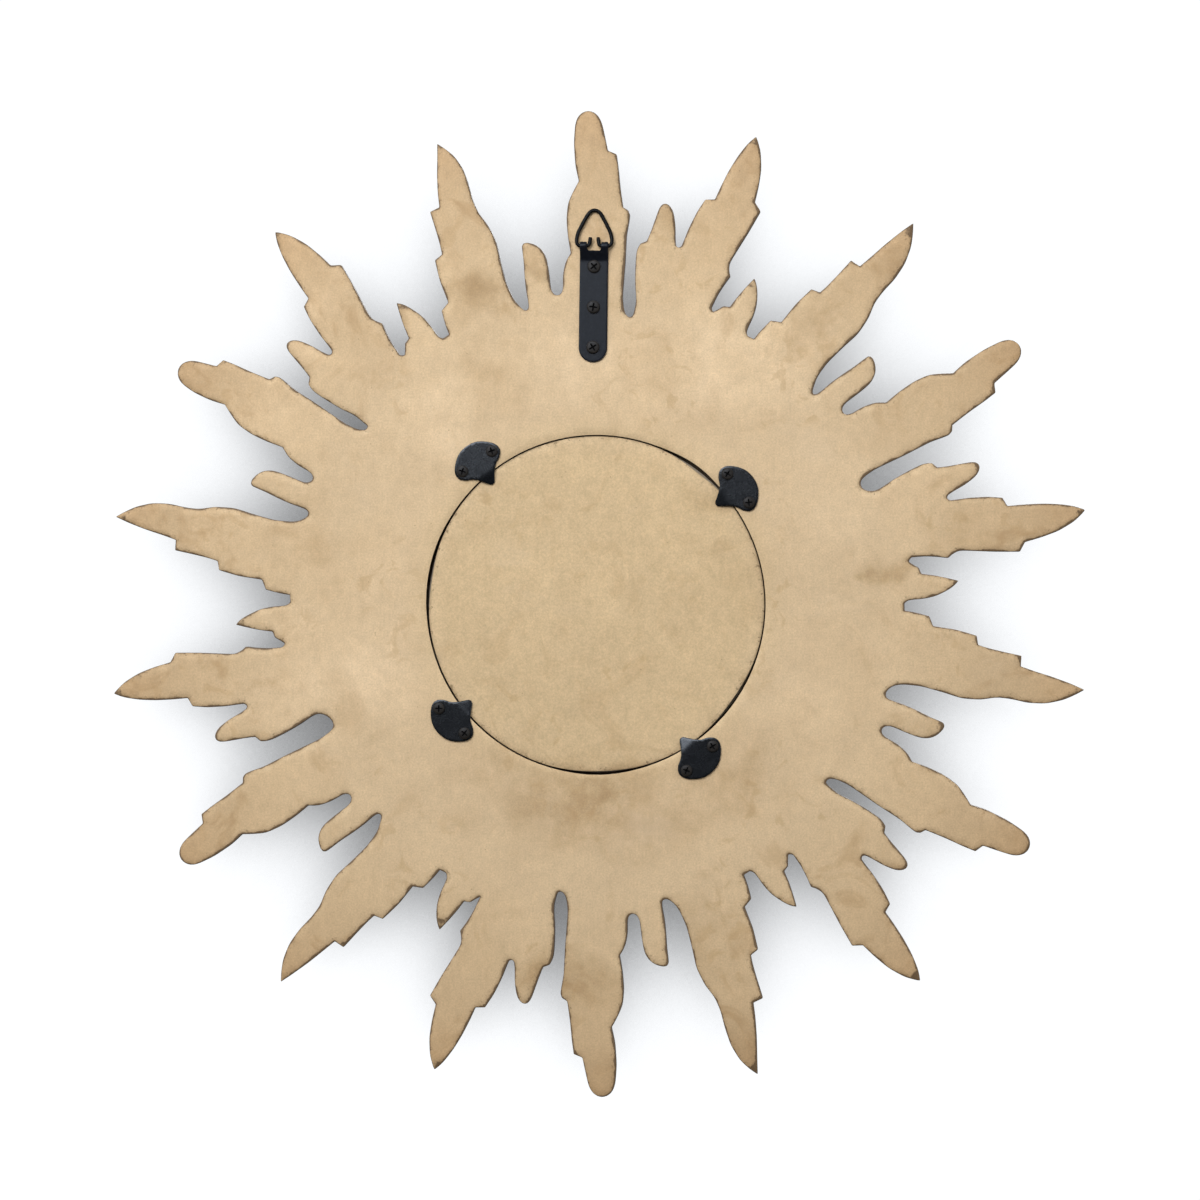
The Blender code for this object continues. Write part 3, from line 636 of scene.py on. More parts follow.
def build_frame():
    dense = flame_outline()
    outline = thin_out(dense, RIM_LONGEST, math.radians(RIM_TURN_DEG))
    rim_tree = tree_of(dense)
    loops = cap_loops("sunburst_frame", 0.0)
    pilots = [loop.mean(0) for loop in loops[2:]]
    shell = Shell()

    # back face
    mouth = RECESS_R + 0.08 * MM
    back_rim = inset(outline, BACK_ROUND)
    recess_rim = recess_circle(mouth)
    pilot_rims = [circle(PILOT_R, PILOT_STEPS, spot, left=False) for spot in pilots]
    holes = [((0.0, 0.0), mouth + 2.4 * MM)]
    holes += [(spot, PILOT_R + 1.2 * MM) for spot in pilots]
    inner = grid_inside(back_rim, BACK_GRID, 0.5 * BACK_GRID, holes)
    back_loops = [back_rim, recess_rim] + pilot_rims
    rings = [shell.add(loop, 0.0) for loop in back_loops]
    flat = [i for ring in rings for i in ring] + shell.add(inner, 0.0)
    shell.faces += [(flat[a], flat[b], flat[c]) for a, b, c in fill(back_loops, inner)]
    for ring, rim, spot in zip(rings[2:], pilot_rims, pilots):
        floor = shell.add(rim, -PILOT_D)
        shell.bridge(ring, floor)
        shell.fan(floor, spot[0], spot[1], -PILOT_D - PILOT_POINT)

    # front face, with the flames' carving
    grooves = groove_lines(dense)
    groove_tree = tree_of(grooves)
    front_rim = inset(outline, FRONT_ROUND)
    foot = circle(FOOT_R, RING_STEPS, left=False)
    holes = [((0.0, 0.0), FOOT_R + 1.1 * MM)]
    spread = grid_inside(front_rim, FRONT_GRID, 0.6 * FRONT_GRID, holes)
    spread = [p for p in spread if distance(groove_tree, p) > 1.1 * MM]
    inner = grooves + spread
    points = np.vstack([front_rim, foot, np.array(inner)])
    edge = nearest(rim_tree, points)
    height = front_height(points, edge, nearest(groove_tree, points))
    front = shell.add(points, -height)
    for a, b, c in fill([front_rim, foot], inner):
        shell.faces.append((front[c], front[b], front[a]))

    # side walls
    at_edge = np.zeros(len(outline))
    low = front_height(outline, at_edge, nearest(groove_tree, outline))
    soft = inset(outline, 0.3 * BACK_ROUND)
    walls = [
        rings[0],
        shell.add(soft, -0.3 * BACK_ROUND),
        shell.add(outline, -BACK_ROUND),
        shell.add(outline, -low),
        front[: len(outline)],
    ]
    shell.chain(walls)

    # recess, rebate, sight edge and the turned ring
    turned = [rings[1]]
    ladder = [
        (RECESS_R + 0.02 * MM, -0.03 * MM),
        (RECESS_R, -0.10 * MM),
        (RECESS_R, -RECESS_D),
        (SIGHT_R + 0.4 * MM, -RECESS_D),
        (SIGHT_R, -RECESS_D - 0.4 * MM),
    ]
    ladder += [(r * MM, -h * MM) for r, h in smooth_profile(RING_PROFILE)]
    for radius, out in ladder:
        around = recess_circle if radius >= RECESS_R else circle_back
        turned.append(shell.add(around(radius), out))
    turned.append(front[len(outline) : len(outline) + RING_STEPS])
    shell.chain(turned)

    obj = shell.build("carved_sunburst")
    flat_points = np.array([vert[:2] for vert in shell.verts])
    depths = np.array([-vert[2] for vert in shell.verts])
    radii = np.linalg.norm(flat_points, axis=1)
    edge = np.where(radii > 150 * MM, nearest(rim_tree, flat_points), NO_EDGE)
    groove = np.where(depths > 4 * MM, nearest(groove_tree, flat_points), NO_EDGE)
    wall = (edge < 0.2 * MM) & (depths > 0.9 * BACK_ROUND)
    # painted shade: the edges that face right and down are darkened the most
    ahead = unit(np.roll(dense, -1, axis=0) - np.roll(dense, 1, axis=0))
    facing = np.clip(SHADED_SIDE[0] * ahead[:, 1] - SHADED_SIDE[1] * ahead[:, 0], 0.0, 1.0)
    at_rim = [rim_tree.find((x, y, 0.0))[1] for x, y in flat_points]
    edge = edge - np.where(depths < 4 * MM, SHADED_SIDE_SHIFT * facing[at_rim], 0.0)
    # the recess walls are marked to take painted shade
    pocket = (radii > SIGHT_R + 0.2 * MM) & (radii < RECESS_R + 1.5 * MM)
    pocket &= (depths > 0.05 * MM) & (depths < RECESS_D + 0.1 * MM)
    float_attribute(obj, "edge_mm", np.where(wall | pocket, WALL_MARK, edge * 1000))
    float_attribute(obj, "groove_mm", groove * 1000)
    return obj


def smooth_profile(profile, parts=3):
    """The profile's points with a smooth curve drawn through them."""
    drawn = []
    for i in range(len(profile) - 1):
        before = Vector(profile[max(i - 1, 0)])
        start, end = Vector(profile[i]), Vector(profile[i + 1])
        after = Vector(profile[min(i + 2, len(profile) - 1)])
        span = (end - start).length
        leave = (end - before).normalized() * span
        arrive = (after - start).normalized() * span
        for part in range(parts):
            t = part / parts
            spot = (
                start * (2 * t**3 - 3 * t**2 + 1)
                + leave * (t**3 - 2 * t**2 + t)
                + end * (3 * t**2 - 2 * t**3)
                + arrive * (t**3 - t**2)
            )
            drawn.append((spot.x, spot.y))
    drawn.append(tuple(profile[-1]))
    return drawn


# ---- board and glass


def build_board():
    edge = leftward(cap_loops("back_board", -BOARD_TOP)[0])
    edge = rounded(edge, BOARD_STEP, 2.4 * MM)
    inner = grid_inside(inset(edge, 0.5 * MM), BOARD_GRID, 1.5 * MM)
    shell = Shell()
    add_plate(shell, edge, [], BOARD_T, BOARD_ROUND, inner)
    middle = Matrix.Translation((0.0, 0.0, -BOARD_TOP - BOARD_T / 2))
    obj = shell.build("round_board", BACK_TO_WORLD @ middle)
    edge_mm = 1000 * nearest(tree_of(edge), shell.verts)
    # painted shade on the board's rim, down in the gap round it
    edge_mm[edge_mm < 0.05] = WALL_MARK
    float_attribute(obj, "edge_mm", edge_mm)
    return obj


def build_glass():
    front = -GLASS_TOP - GLASS_T
    profile = [
        (0.0, -GLASS_TOP),
        (GLASS_R * 0.5, -GLASS_TOP),
        (GLASS_R - 0.5 * MM, -GLASS_TOP),
        (GLASS_R, -GLASS_TOP - 0.4 * MM),
        (GLASS_R, front + GLASS_BEVEL_D + 0.5 * MM),
        (GLASS_R - 0.4 * MM, front + GLASS_BEVEL_D),
        (GLASS_BEVEL_R, front),
        (GLASS_R * 0.5, front),
        (0.0, front),
    ]
    shell = Shell()
    revolve(shell, profile, 200)
    return shell.build("bevelled_mirror_glass", sharp_deg=1.5)


# ---- clips and screws


def turned(degrees, axis="Z"):
    return Matrix.Rotation(math.radians(degrees), 4, axis)


def clip_matrix(angle_deg, out, twist_deg):
    """Clip coordinates to the back view: local Y points away from the disc's middle."""
    angle = math.radians(angle_deg)
    place = Matrix.Translation((out * math.cos(angle), out * math.sin(angle), 0.0))
    return place @ turned(angle_deg - 90.0 + twist_deg)


def clip_bend(x, y, height):
    """Bends the clip's tab down past its fold, with a short round bend."""
    past = TAB_FOLD_Y - y
    drop = math.tan(math.radians(TAB_SLOPE_DEG))
    share = min(max((past + TAB_BEND) / (2 * TAB_BEND), 0.0), 1.0)
    bent = drop * TAB_BEND * share * share
    bent += drop * max(past - TAB_BEND, 0.0)
    return x, y, height - bent + LIFT + SHEET_T / 2


def both_sides(half, tip, shared=0):
    """A symmetric line from one side, its tip, and the side mirrored less its shared points."""
    other = [(-x, y) for x, y in reversed(half[shared:])]
    return [(x * MM, y * MM) for x, y in (*half, tip, *other)]


def pierced_sheet(edge, spots, bevel, grid, margin):
    """A flat sheet with a screw hole at each spot, ready to be bent."""
    holes = [circle(SHEET_HOLE_R, 20, spot, left=False) for spot in spots]
    keep_out = [(spot, SHEET_HOLE_R + 0.7 * MM) for spot in spots]
    inner = grid_inside(inset(edge, 0.4 * MM), grid, margin, keep_out)
    shell = Shell()
    add_plate(shell, edge, holes, SHEET_T, bevel, inner)
    return shell


def build_clip(name, matrix):
    coarse = both_sides(CLIP_HALF, CLIP_TIP, 1)
    curve = smooth_profile(coarse + coarse[:3], CURVE_PARTS)
    curve = curve[CURVE_PARTS : CURVE_PARTS * (len(coarse) + 1)]
    edge = leftward(rounded(curve, PLATE_STEP, 0.6 * MM))
    spots = [(-CLIP_SCREW_X, 0.0), (CLIP_SCREW_X, 0.0)]
    shell = pierced_sheet(edge, spots, CLIP_ROUND, CLIP_GRID, 0.5 * MM)
    return shell.build(name + "_plate", BACK_TO_WORLD @ matrix, mapping=clip_bend)


def cross_outline(head_r):
    """The cross recess of a screw head, rounded a little at its corners."""
    arm = CROSS_ARM * head_r
    half = CROSS_HALF * head_r
    tip = CROSS_TIP * half
    quarter = [(half, half), (tip, arm), (-tip, arm), (-half, half)]
    corners = []
    for turn in range(4):
        angle = turn * math.pi / 2
        cos, sin = math.cos(angle), math.sin(angle)
        for x, y in quarter[1:]:
            corners.append((x * cos - y * sin, x * sin + y * cos))
    return rounded(corners, CROSS_STEP, CROSS_STEP)


def dome(radius, head_r):
    return HEAD_H * (1.0 - DOME_DROP * (radius / head_r) ** DOME_POWER)


def build_screw(name, head_r, matrix):
    shell = Shell()
    steps = SCREW_STEPS
    rings = [shell.add(circle(r * head_r, steps), out * HEAD_H) for r, out in HEAD_PROFILE]
    shell.chain(rings)
    # domed face with its cross recess
    face_r, face_height = HEAD_PROFILE[-1]
    face_rim = circle(face_r * head_r, steps)
    outer = cross_outline(head_r)
    floor = inset(outer, CROSS_WALL)
    top_tree, deep_tree = tree_of(outer), tree_of(floor)
    spread = [
        p
        for p in grid_inside(face_rim, HEAD_GRID, 0.2 * MM)
        if distance(top_tree, p) > 0.16 * MM and distance(deep_tree, p) > 0.12 * MM
    ]
    in_cross = points_inside(np.array(spread), floor)
    sunk = [False] * (steps + len(outer)) + [True] * len(floor) + list(in_cross)
    places = [*face_rim, *outer, *floor, *spread]
    heights = []
    for place, deep in zip(places, sunk):
        radius = math.hypot(place[0], place[1])
        height = face_height * HEAD_H if len(heights) < steps else dome(radius, head_r)
        if deep:
            height -= HEAD_H * (CROSS_DEPTH - CROSS_RISE * radius / (0.6 * head_r))
        heights.append(height)
    top = rings[-1] + shell.add(places[steps:], heights[steps:])
    for a, b, c in fill([face_rim, outer, floor], spread, hollow=False):
        shell.faces.append((top[a], top[b], top[c]))
    # threaded shank
    rows = [shell.add(circle(CREST_R, steps), -0.02 * MM)]
    for row in range(THREAD_ROWS):
        share = (row + 1) / THREAD_ROWS
        out = -0.5 * MM - (SHANK_L - 0.7 * MM) * share
        point = max(0.0, (share - POINT_START) / (1.0 - POINT_START))
        slim = 1.0 - point**1.5 * POINT_SLIM
        ring = []
        for k in range(steps):
            angle = 2 * math.pi * k / steps
            phase = (-out / PITCH + k / steps) % 1.0
            crest = max(0.0, 1.0 - abs(phase - 0.5) * THREAD_SHARP)
            radius = (CORE_R + (CREST_R - CORE_R) * crest) * slim
            ring.append((radius * math.cos(angle), radius * math.sin(angle)))
        rows.append(shell.add(ring, out))
    shell.bridge(rings[0], rows[0])
    shell.chain(rows)
    shell.fan(rows[-1], 0.0, 0.0, -SHANK_L)
    obj = shell.build(name + "_pan_head", BACK_TO_WORLD @ matrix, sharp_deg=40.0)
    sunk_verts = np.zeros(len(shell.verts))
    sunk_verts[top] = sunk
    float_attribute(obj, "sunk", sunk_verts)
    return obj


def points_inside(points, loop):
    """Which points lie inside a closed outline."""
    inside = np.zeros(len(points), bool)
    ahead = np.roll(loop, -1, axis=0)
    for (x1, y1), (x2, y2) in zip(loop, ahead):
        spans = (y1 > points[:, 1]) != (y2 > points[:, 1])
        if y1 != y2:
            cut = x1 + (points[:, 1] - y1) / (y2 - y1) * (x2 - x1)
            inside ^= spans & (points[:, 0] < cut)
    return inside


# ---- strap hanger and ring


def hanger_matrix():
    place = Matrix.Translation((AXIS_ACROSS, AXIS_UP, 0.0))
    return place @ turned(-HANGER_TILT_DEG)


def strap_line():
    """Middle line of the strap's sheet as rows of (run, along, height)."""
    flat_h = LIFT + SHEET_T / 2
    across = -STRAP_FLAT_TOP
    rise = AXIS_H - flat_h
    reach = math.hypot(across, rise)
    ramp = math.atan2(rise, across) + math.asin(ROLL_R / reach)
    start = math.pi / 2 + ramp
    stop = math.radians(ROLL_STOP_DEG)
    line = [(STRAP_END - 5.0 * MM, flat_h), (STRAP_FLAT_TOP, flat_h)]
    for step in range(49):
        angle = start + (stop - start) * step / 48
        line.append((ROLL_R * math.cos(angle), AXIS_H + ROLL_R * math.sin(angle)))
    even = resample(line, 0.1 * MM, closed=False)
    relax(even, 30)
    foot = even[:, 0] < STRAP_FOOT_END
    relax(even, 70, foot[1:-1, None])
    runs = np.linalg.norm(np.diff(even, axis=0), axis=1)
    run = np.concatenate([[0.0], np.cumsum(runs)]) + even[0, 0]
    return np.column_stack([run, even])


def build_strap():
    line = strap_line()
    run_end = line[-1, 0]
    climbing = line[: len(line) * 9 // 10]
    notch_run = float(climbing[np.searchsorted(climbing[:, 1], NOTCH_END), 0])
    half = STRAP_W / 2
    plan = []
    for step in range(25):
        angle = math.pi + math.pi * step / 24
        plan.append((half * math.cos(angle), STRAP_END + half + half * math.sin(angle)))
    notch = [
        (half, run_end),
        (NOTCH_HALF_TOP, run_end),
        (NOTCH_HALF_TOP, notch_run + NOTCH_TAPER),
        (NOTCH_HALF_END, notch_run),
    ]
    plan += notch + [(-x, y) for x, y in reversed(notch)]
    edge = rounded(plan, PLATE_STEP, 0.35 * MM)
    slope = unit(np.gradient(line[:, 1:], axis=0))

    def roll(x, y, height):
        rows = (line[:, 1], line[:, 2], slope[:, 0], slope[:, 1])
        along, up, run_y, run_z = (np.interp(y, line[:, 0], row) for row in rows)
        size = math.hypot(run_y, run_z)
        return x, along - height * run_z / size, up + height * run_y / size

    spots = [(0.0, up) for up in STRAP_SCREWS]
    shell = pierced_sheet(edge, spots, STRAP_ROUND, STRAP_GRID, 0.4 * MM)
    matrix = BACK_TO_WORLD @ hanger_matrix()
    return shell.build("rolled_strap_hanger", matrix, mapping=roll)


def build_ring():
    path = both_sides(RING_HALF, RING_TOP)
    dense = resample(smooth_profile(path, CURVE_PARTS), 0.35 * MM, closed=False)
    relax(dense, 4)
    slope = unit(np.gradient(dense, axis=0))
    shell = Shell()
    angles = [2 * math.pi * k / WIRE_STEPS for k in range(WIRE_STEPS)]
    sections = []
    for i, (spot, way) in enumerate(zip(dense, slope)):
        end = min(i, len(dense) - 1 - i)
        radius = WIRE_R * (0.72 if end == 0 else 0.93 if end == 1 else 1.0)
        side = np.array((way[1], -way[0]))
        ring = [spot + side * radius * math.cos(a) for a in angles]
        sections.append(shell.add(ring, [radius * math.sin(a) for a in angles]))
    shell.chain(sections)
    shell.fan(sections[0], dense[0][0], dense[0][1], 0.0)
    shell.fan(sections[-1], dense[-1][0], dense[-1][1], 0.0)
    lean = turned(-RING_LEAN_DEG, "X")
    tilt = turned(-HANGER_TILT_DEG)
    hinge = Matrix.Translation((AXIS_ACROSS, AXIS_UP, AXIS_H))
    return shell.build("wire_d_ring", BACK_TO_WORLD @ hinge @ tilt @ lean, sharp_deg=50.0)


# ---- materials


def linear(red, green, blue):
    """A colour given in screen values 0-255, as the shader's linear colour."""

    def one(value):
        value /= 255.0
        return value / 12.92 if value <= 0.04045 else ((value + 0.055) / 1.055) ** 2.4

    return (one(red), one(green), one(blue), 1.0)


class Nodes:
    """A node tree, with short calls that add a node and return one of its outputs."""

    def __init__(self, owner):
        owner.use_nodes = True
        self.tree = owner.node_tree

    def connect(self, value, socket):
        if isinstance(value, bpy.types.NodeSocket):
            self.tree.links.new(value, socket)
        else:
            socket.default_value = value

    def add(self, kind, inputs, output=0, **settings):
        node = self.tree.nodes.new("ShaderNode" + kind)
        for name, value in settings.items():
            setattr(node, name, value)
        for name, value in inputs.items():
            self.connect(value, node.inputs[name])
        return node.outputs[output]

    def vector(self, kind, *values, output=0):
        return self.add("VectorMath", dict(enumerate(values)), output, operation=kind)

    def span(self, value, start, end, low, high, **settings):
        """The value mapped from one range to another, and held at its ends."""
        limits = {"From Min": start, "From Max": end, "To Min": low, "To Max": high}
        return self.add("MapRange", {"Value": value, **limits}, **settings)

    def fade(self, value, start, end, low=0.0, high=1.0):
        return self.span(value, start, end, low, high, interpolation_type="SMOOTHSTEP")

    def end_in_mix(self, kind, share, first, second):
        """Ends the tree in a mix of two shaders."""
        mixed = self.add("MixShader", {0: share, 1: first, 2: second})
        output = self.tree.nodes.new("ShaderNodeOutput" + kind)
        self.tree.links.new(mixed, output.inputs["Surface"])


class Finish(Nodes):
    """A node-based material for a piece."""

    def __init__(self, name):
        self.mat = bpy.data.materials.new(name)
        super().__init__(self.mat)
        self.shader = self.tree.nodes["Principled BSDF"]
        self.place = self.add("TexCoord", {}, "Object")

    def stretch(self, scale):
        return self.add("Mapping", {"Scale": scale, "Vector": self.place})

    def noise(self, scale, detail=2.0, rough=0.5, warp=0.0, at=None, output="Fac"):
        inputs = {"Scale": scale, "Detail": detail, "Roughness": rough, "Distortion": warp}
        return self.add("TexNoise", {"Vector": at or self.place, **inputs}, output)

    def spots(self, scale):
        return self.add("TexVoronoi", {"Scale": scale, "Vector": self.place}, "Distance")

    def attribute(self, name):
        return self.add("Attribute", {}, "Fac", attribute_name=name)

    def math(self, kind, first, second):
        return self.add("Math", {0: first, 1: second}, operation=kind)

    def times(self, first, second):
        return self.math("MULTIPLY", first, second)

    def places(self, table):
        """How strongly a point lies in any of a table's round places, with wavering rims."""
        wander = self.noise(WANDER_SCALE, 4.0, output="Color")
        moved = self.vector("MULTIPLY_ADD", wander, WANDER, self.place)
        total = 0.0
        for across, up, size, strength in table:
            spot = BACK_TO_WORLD @ Vector((across * MM, up * MM, 0.0)) + WANDER / 2
            away = self.vector("DISTANCE", moved, spot, output="Value")
            inside = self.fade(away, 0.05 * size * MM, size * MM, strength, 0.0)
            total = self.math("ADD", inside, total)
        return self.times(total, self.fade(self.noise(48.0, 4.0, 0.6), 0.36, 0.64, 0.45, 1.25))

    def radius(self):
        """How far a point lies from the mirror's axis."""
        away = self.vector("SUBTRACT", self.place, (CENTRE_X, 0.0, CENTRE_Z))
        flat = self.vector("MULTIPLY", away, (1.0, 0.0, 1.0))
        return self.vector("LENGTH", flat, output="Value")

    def ramp(self, value, stops):
        color = self.add("ValToRGB", {"Fac": value}, "Color")
        band = color.node.color_ramp
        for _ in range(len(stops) - 2):
            band.elements.new(0.5)
        for element, (spot, tone) in zip(band.elements, stops):
            element.position = spot
            element.color = tone
        return color

    def mix(self, share, first, second, kind="MIX"):
        inputs = {0: share, 6: first, 7: second}
        return self.add("Mix", inputs, 2, data_type="RGBA", blend_type=kind)

    def lay(self, color, share, tone):
        """The colour, covered by a share of a tone given in screen values."""
        return self.mix(share, color, linear(*tone))

    def shade(self, color, noise, low, high):
        """The colour made darker and lighter as a noise moves over its usual range."""
        level = self.span(noise, NOISE_LOW, NOISE_HIGH, low, high)
        flat_color = color if isinstance(color, bpy.types.NodeSocket) else color[:3]
        return self.add("VectorMath", {0: flat_color, "Scale": level}, operation="SCALE")

    def bump(self, height, depth, strength, under=None):
        inputs = {"Height": height, "Distance": depth, "Strength": strength}
        if under is not None:
            inputs["Normal"] = under
        return self.add("Bump", inputs)

    def done(self, color, rough, metallic=0.0, normal=None, **constants):
        inputs = {"Base Color": color, "Roughness": rough, "Metallic": metallic}
        if normal is not None:
            inputs["Normal"] = normal
        inputs.update((name.replace("_", " "), value) for name, value in constants.items())
        for name, value in inputs.items():
            self.connect(value, self.shader.inputs[name])
        return self.mat


NOISE_LOW, NOISE_HIGH = 0.3, 0.7
# Paint by distance from the axis, as a share of PAINT_REACH, in screen values.
PAINT_REACH = 0.305
PAINT_BY_RADIUS = (
    (0.00, 206, 180, 140),
    (0.30, 206, 180, 140),
    (0.40, 211, 185, 148),
    (0.60, 210, 184, 147),
    (0.75, 205, 178, 140),
    (0.88, 197, 169, 131),
    (1.00, 190, 158, 118),
)
# Mottling of the paint: a noise's scale, detail, roughness and warp, then darkest and palest.
PAINT_MOTTLE = (
    (9.0, 2.0, 0.55, 0.4, 0.965, 1.035),
    (34.0, 4.0, 0.6, 0.8, 0.955, 1.045),
    (170.0, 3.0, 0.6, 0.0, 0.95, 1.05),
    (900.0, 3.0, 0.75, 0.0, 0.86, 1.14),
)
DARKENED = (0.60, 0.52, 0.40, 1.0)  # what the full strength of a dark place multiplies by
PALED = (1.26, 1.29, 1.36, 1.0)
SMUDGE_TONE = (171, 138, 96)
STAIN_TONE = (176, 143, 98)
BROAD_TONE = (180, 148, 106)
CHALKY_TONE = (226, 204, 174)
SPECK_TONE = (128, 98, 64)
EDGE_TONE = (160, 133, 97)
LINE_TONE = (88, 68, 47)
# dark paint on the side walls; painted shade in the recess and on the board's rim
WALL_PAINT_AND_SHADE_TONE = (52, 40, 30)
NICK_TONE = (98, 74, 48)
GROOVE_TONE = (112, 84, 50)
# Broad dark and pale places, partly smudges in the paint, partly painted shade and painted sheen:
# across, up and radius in mm, and how strong.
SMUDGE_AND_SHADE_PLACES = (
    (-70, -105, 45, 0.30), (-22, -132, 48, 0.42), (20, -124, 44, 0.62),
    (76, -114, 48, 0.40), (-16, -228, 30, 0.90), (-74, 192, 32, 0.62),
    (178, 18, 13, 0.60), (-62, 138, 36, 0.34), (-178, 34, 55, 0.34),
    (236, 44, 38, 0.30), (213, -78, 22, 0.42), (43, 246, 18, 0.50),
    (-38, 222, 18, 0.44), (100, -284, 34, 0.45), (6, -302, 22, 0.40),
    (-100, -200, 36, 0.26), (62, -210, 40, 0.24), (30, 150, 22, 0.24),
    (84, 4, 34, 0.22), (72, 66, 24, 0.30),
)
PALE_AND_SHEEN_PLACES = (
    (-136, -36, 46, 0.55), (-190, -50, 50, 0.38), (74, 158, 50, 0.52),
    (126, 142, 46, 0.40), (-180, 182, 40, 0.50), (-98, 122, 34, 0.42),
    (-10, 150, 40, 0.40), (-216, 116, 34, 0.34), (160, 62, 60, 0.30),
    (140, -50, 60, 0.16), (-34, 8, 60, 0.14),
)
WANDER_SCALE = 17.0
WANDER = Vector((0.10, 0.0, 0.10))  # how far the noise moves the places' rims, in metres


def gilt_finish(name, board=False):
    """Matt champagne paint: cloudy, smudged towards the tips, worn dark along the edges; with
    painted shade and painted sheen in broad places, on edges facing one way and in the recess.
    """
    f = Finish(name)
    radius = f.radius()
    stops = [(share, linear(*tone)) for share, *tone in PAINT_BY_RADIUS]
    color = f.ramp(f.times(radius, 1.0 / PAINT_REACH), stops)
    for *grain, low, high in PAINT_MOTTLE:
        color = f.shade(color, f.noise(*grain), low, high)
    strokes = f.noise(420.0, 2.0, 0.6, 0.0, f.stretch((1.0, 1.0, 0.16)))
    color = f.shade(color, strokes, 0.98, 1.02)
    # broad places: smudges and painted shade where darker, painted sheen where paler
    color = f.mix(f.places(SMUDGE_AND_SHADE_PLACES), color, DARKENED, "MULTIPLY")
    color = f.mix(f.places(PALE_AND_SHEEN_PLACES), color, PALED, "MULTIPLY")
    # brown smudges, stronger towards the tips
    reach = 0.30 if board else f.fade(radius, 0.12, 0.29, 0.12, 0.66)
    cloud = f.fade(f.noise(26.0, 5.0, 0.62, 1.4), 0.52, 0.72)
    color = f.lay(color, f.times(cloud, reach), SMUDGE_TONE)
    stain = f.fade(f.noise(70.0, 4.0, 0.55, 1.0), 0.54, 0.66)
    stained = f.fade(f.noise(15.0, 2.0, 0.5), 0.48, 0.60, 0.0, 0.32)
    color = f.lay(color, f.times(stain, stained), STAIN_TONE)
    broad = f.fade(f.noise(11.0, 3.0, 0.6, 0.6), 0.55, 0.75)
    color = f.lay(color, f.times(broad, 0.16), BROAD_TONE)
    chalky = f.fade(f.noise(13.0, 4.0, 0.55, 0.5, f.stretch((1.0, 1.0, 1.7))), 0.58, 0.78)
    color = f.lay(color, f.times(chalky, 0.22), CHALKY_TONE)
    # small dark specks
    speck = f.fade(f.spots(210.0), 0.10, 0.05)
    rare = f.fade(f.noise(60.0, 2.0, 0.5), 0.56, 0.66)
    color = f.lay(color, f.times(f.times(speck, rare), 0.55), SPECK_TONE)
    # worn edge: a wide tint, a thin line and nicks, with painted shade on the edges that face one
    # way; dark paint on side walls and painted shade in the recess
    edge = f.attribute("edge_mm")
    uneven = f.math("ADD", edge, f.fade(f.noise(95.0, 4.0, 0.65), 0.3, 0.7, 0.7, -0.7))
    most = 0.12 if board else 0.42
    color = f.lay(color, f.fade(uneven, 2.6, 0.3, 0.0, most), EDGE_TONE)
    color = f.lay(color, f.fade(uneven, 1.0, 0.2, 0.0, 2.0 * most), LINE_TONE)
    # dark paint on the side walls, painted shade in the recess and on the board's rim
    color = f.lay(color, f.fade(edge, -0.6, -2.2, 0.0, 0.8), WALL_PAINT_AND_SHADE_TONE)
    nick = f.fade(f.noise(420.0, 3.0, 0.7), 0.58, 0.66)
    color = f.lay(color, f.times(nick, f.fade(uneven, 4.2, 0.8, 0.0, 0.60)), NICK_TONE)
    if not board:
        groove = f.fade(f.attribute("groove_mm"), 2.4, 0.2, 0.0, 0.55)
        color = f.lay(color, groove, GROOVE_TONE)
    rough = f.fade(f.noise(120.0, 3.0, 0.6), 0.25, 0.75, 0.50, 0.66)
    wave = f.bump(f.noise(75.0, 3.0, 0.5), 0.00022, 0.35)
    grain = f.bump(f.noise(1500.0, 2.0, 0.6), 0.00006, 0.55, wave)
    return f.done(color, rough, 0.10, grain, Specular_IOR_Level=0.35)


COAT_DUST = (0.13, 0.125, 0.12, 1.0)
CROSS_SHADE = (0.002, 0.0015, 0.0012, 1.0)  # painted shade inside a screw's cross
COAT_SHEEN = (0.80, 0.88, 1.0, 1.0)


def black_finish(name, tone, rough_low, rough_high, gloss, scale=1700.0):
    """Black coated steel: satin, faintly blue, with a fine pebbled coat and painted shade inside a
    screw's cross.
    """
    f = Finish(name)
    sunk = f.attribute("sunk")
    color = f.shade((*tone, 1.0), f.noise(420.0, 3.0, 0.6), 0.80, 1.22)
    dust = f.fade(f.noise(700.0, 3.0, 0.7), 0.56, 0.70)
    color = f.mix(f.times(dust, 0.06), color, COAT_DUST)
    # painted shade: the inside of a screw's cross is made near black
    color = f.mix(sunk, color, CROSS_SHADE)
    rough = f.fade(f.noise(330.0, 3.0, 0.6), 0.3, 0.7, rough_low, rough_high)
    rough = f.math("MAXIMUM", rough, f.times(sunk, 0.95))
    pebble = f.bump(f.noise(scale, 2.0, 0.55), 0.00006, 0.45)
    return f.done(color, rough, 0.0, pebble, Specular_IOR_Level=gloss, Specular_Tint=COAT_SHEEN)


def mirror_finish():
    f = Finish("silvered_glass")
    haze = f.fade(f.noise(40.0, 4.0, 0.6), 0.4, 0.8, 0.012, 0.035)
    color = f.shade((0.93, 0.945, 0.94, 1.0), f.noise(12.0, 2.0, 0.5), 0.985, 1.01)
    return f.done(color, haze, 1.0)


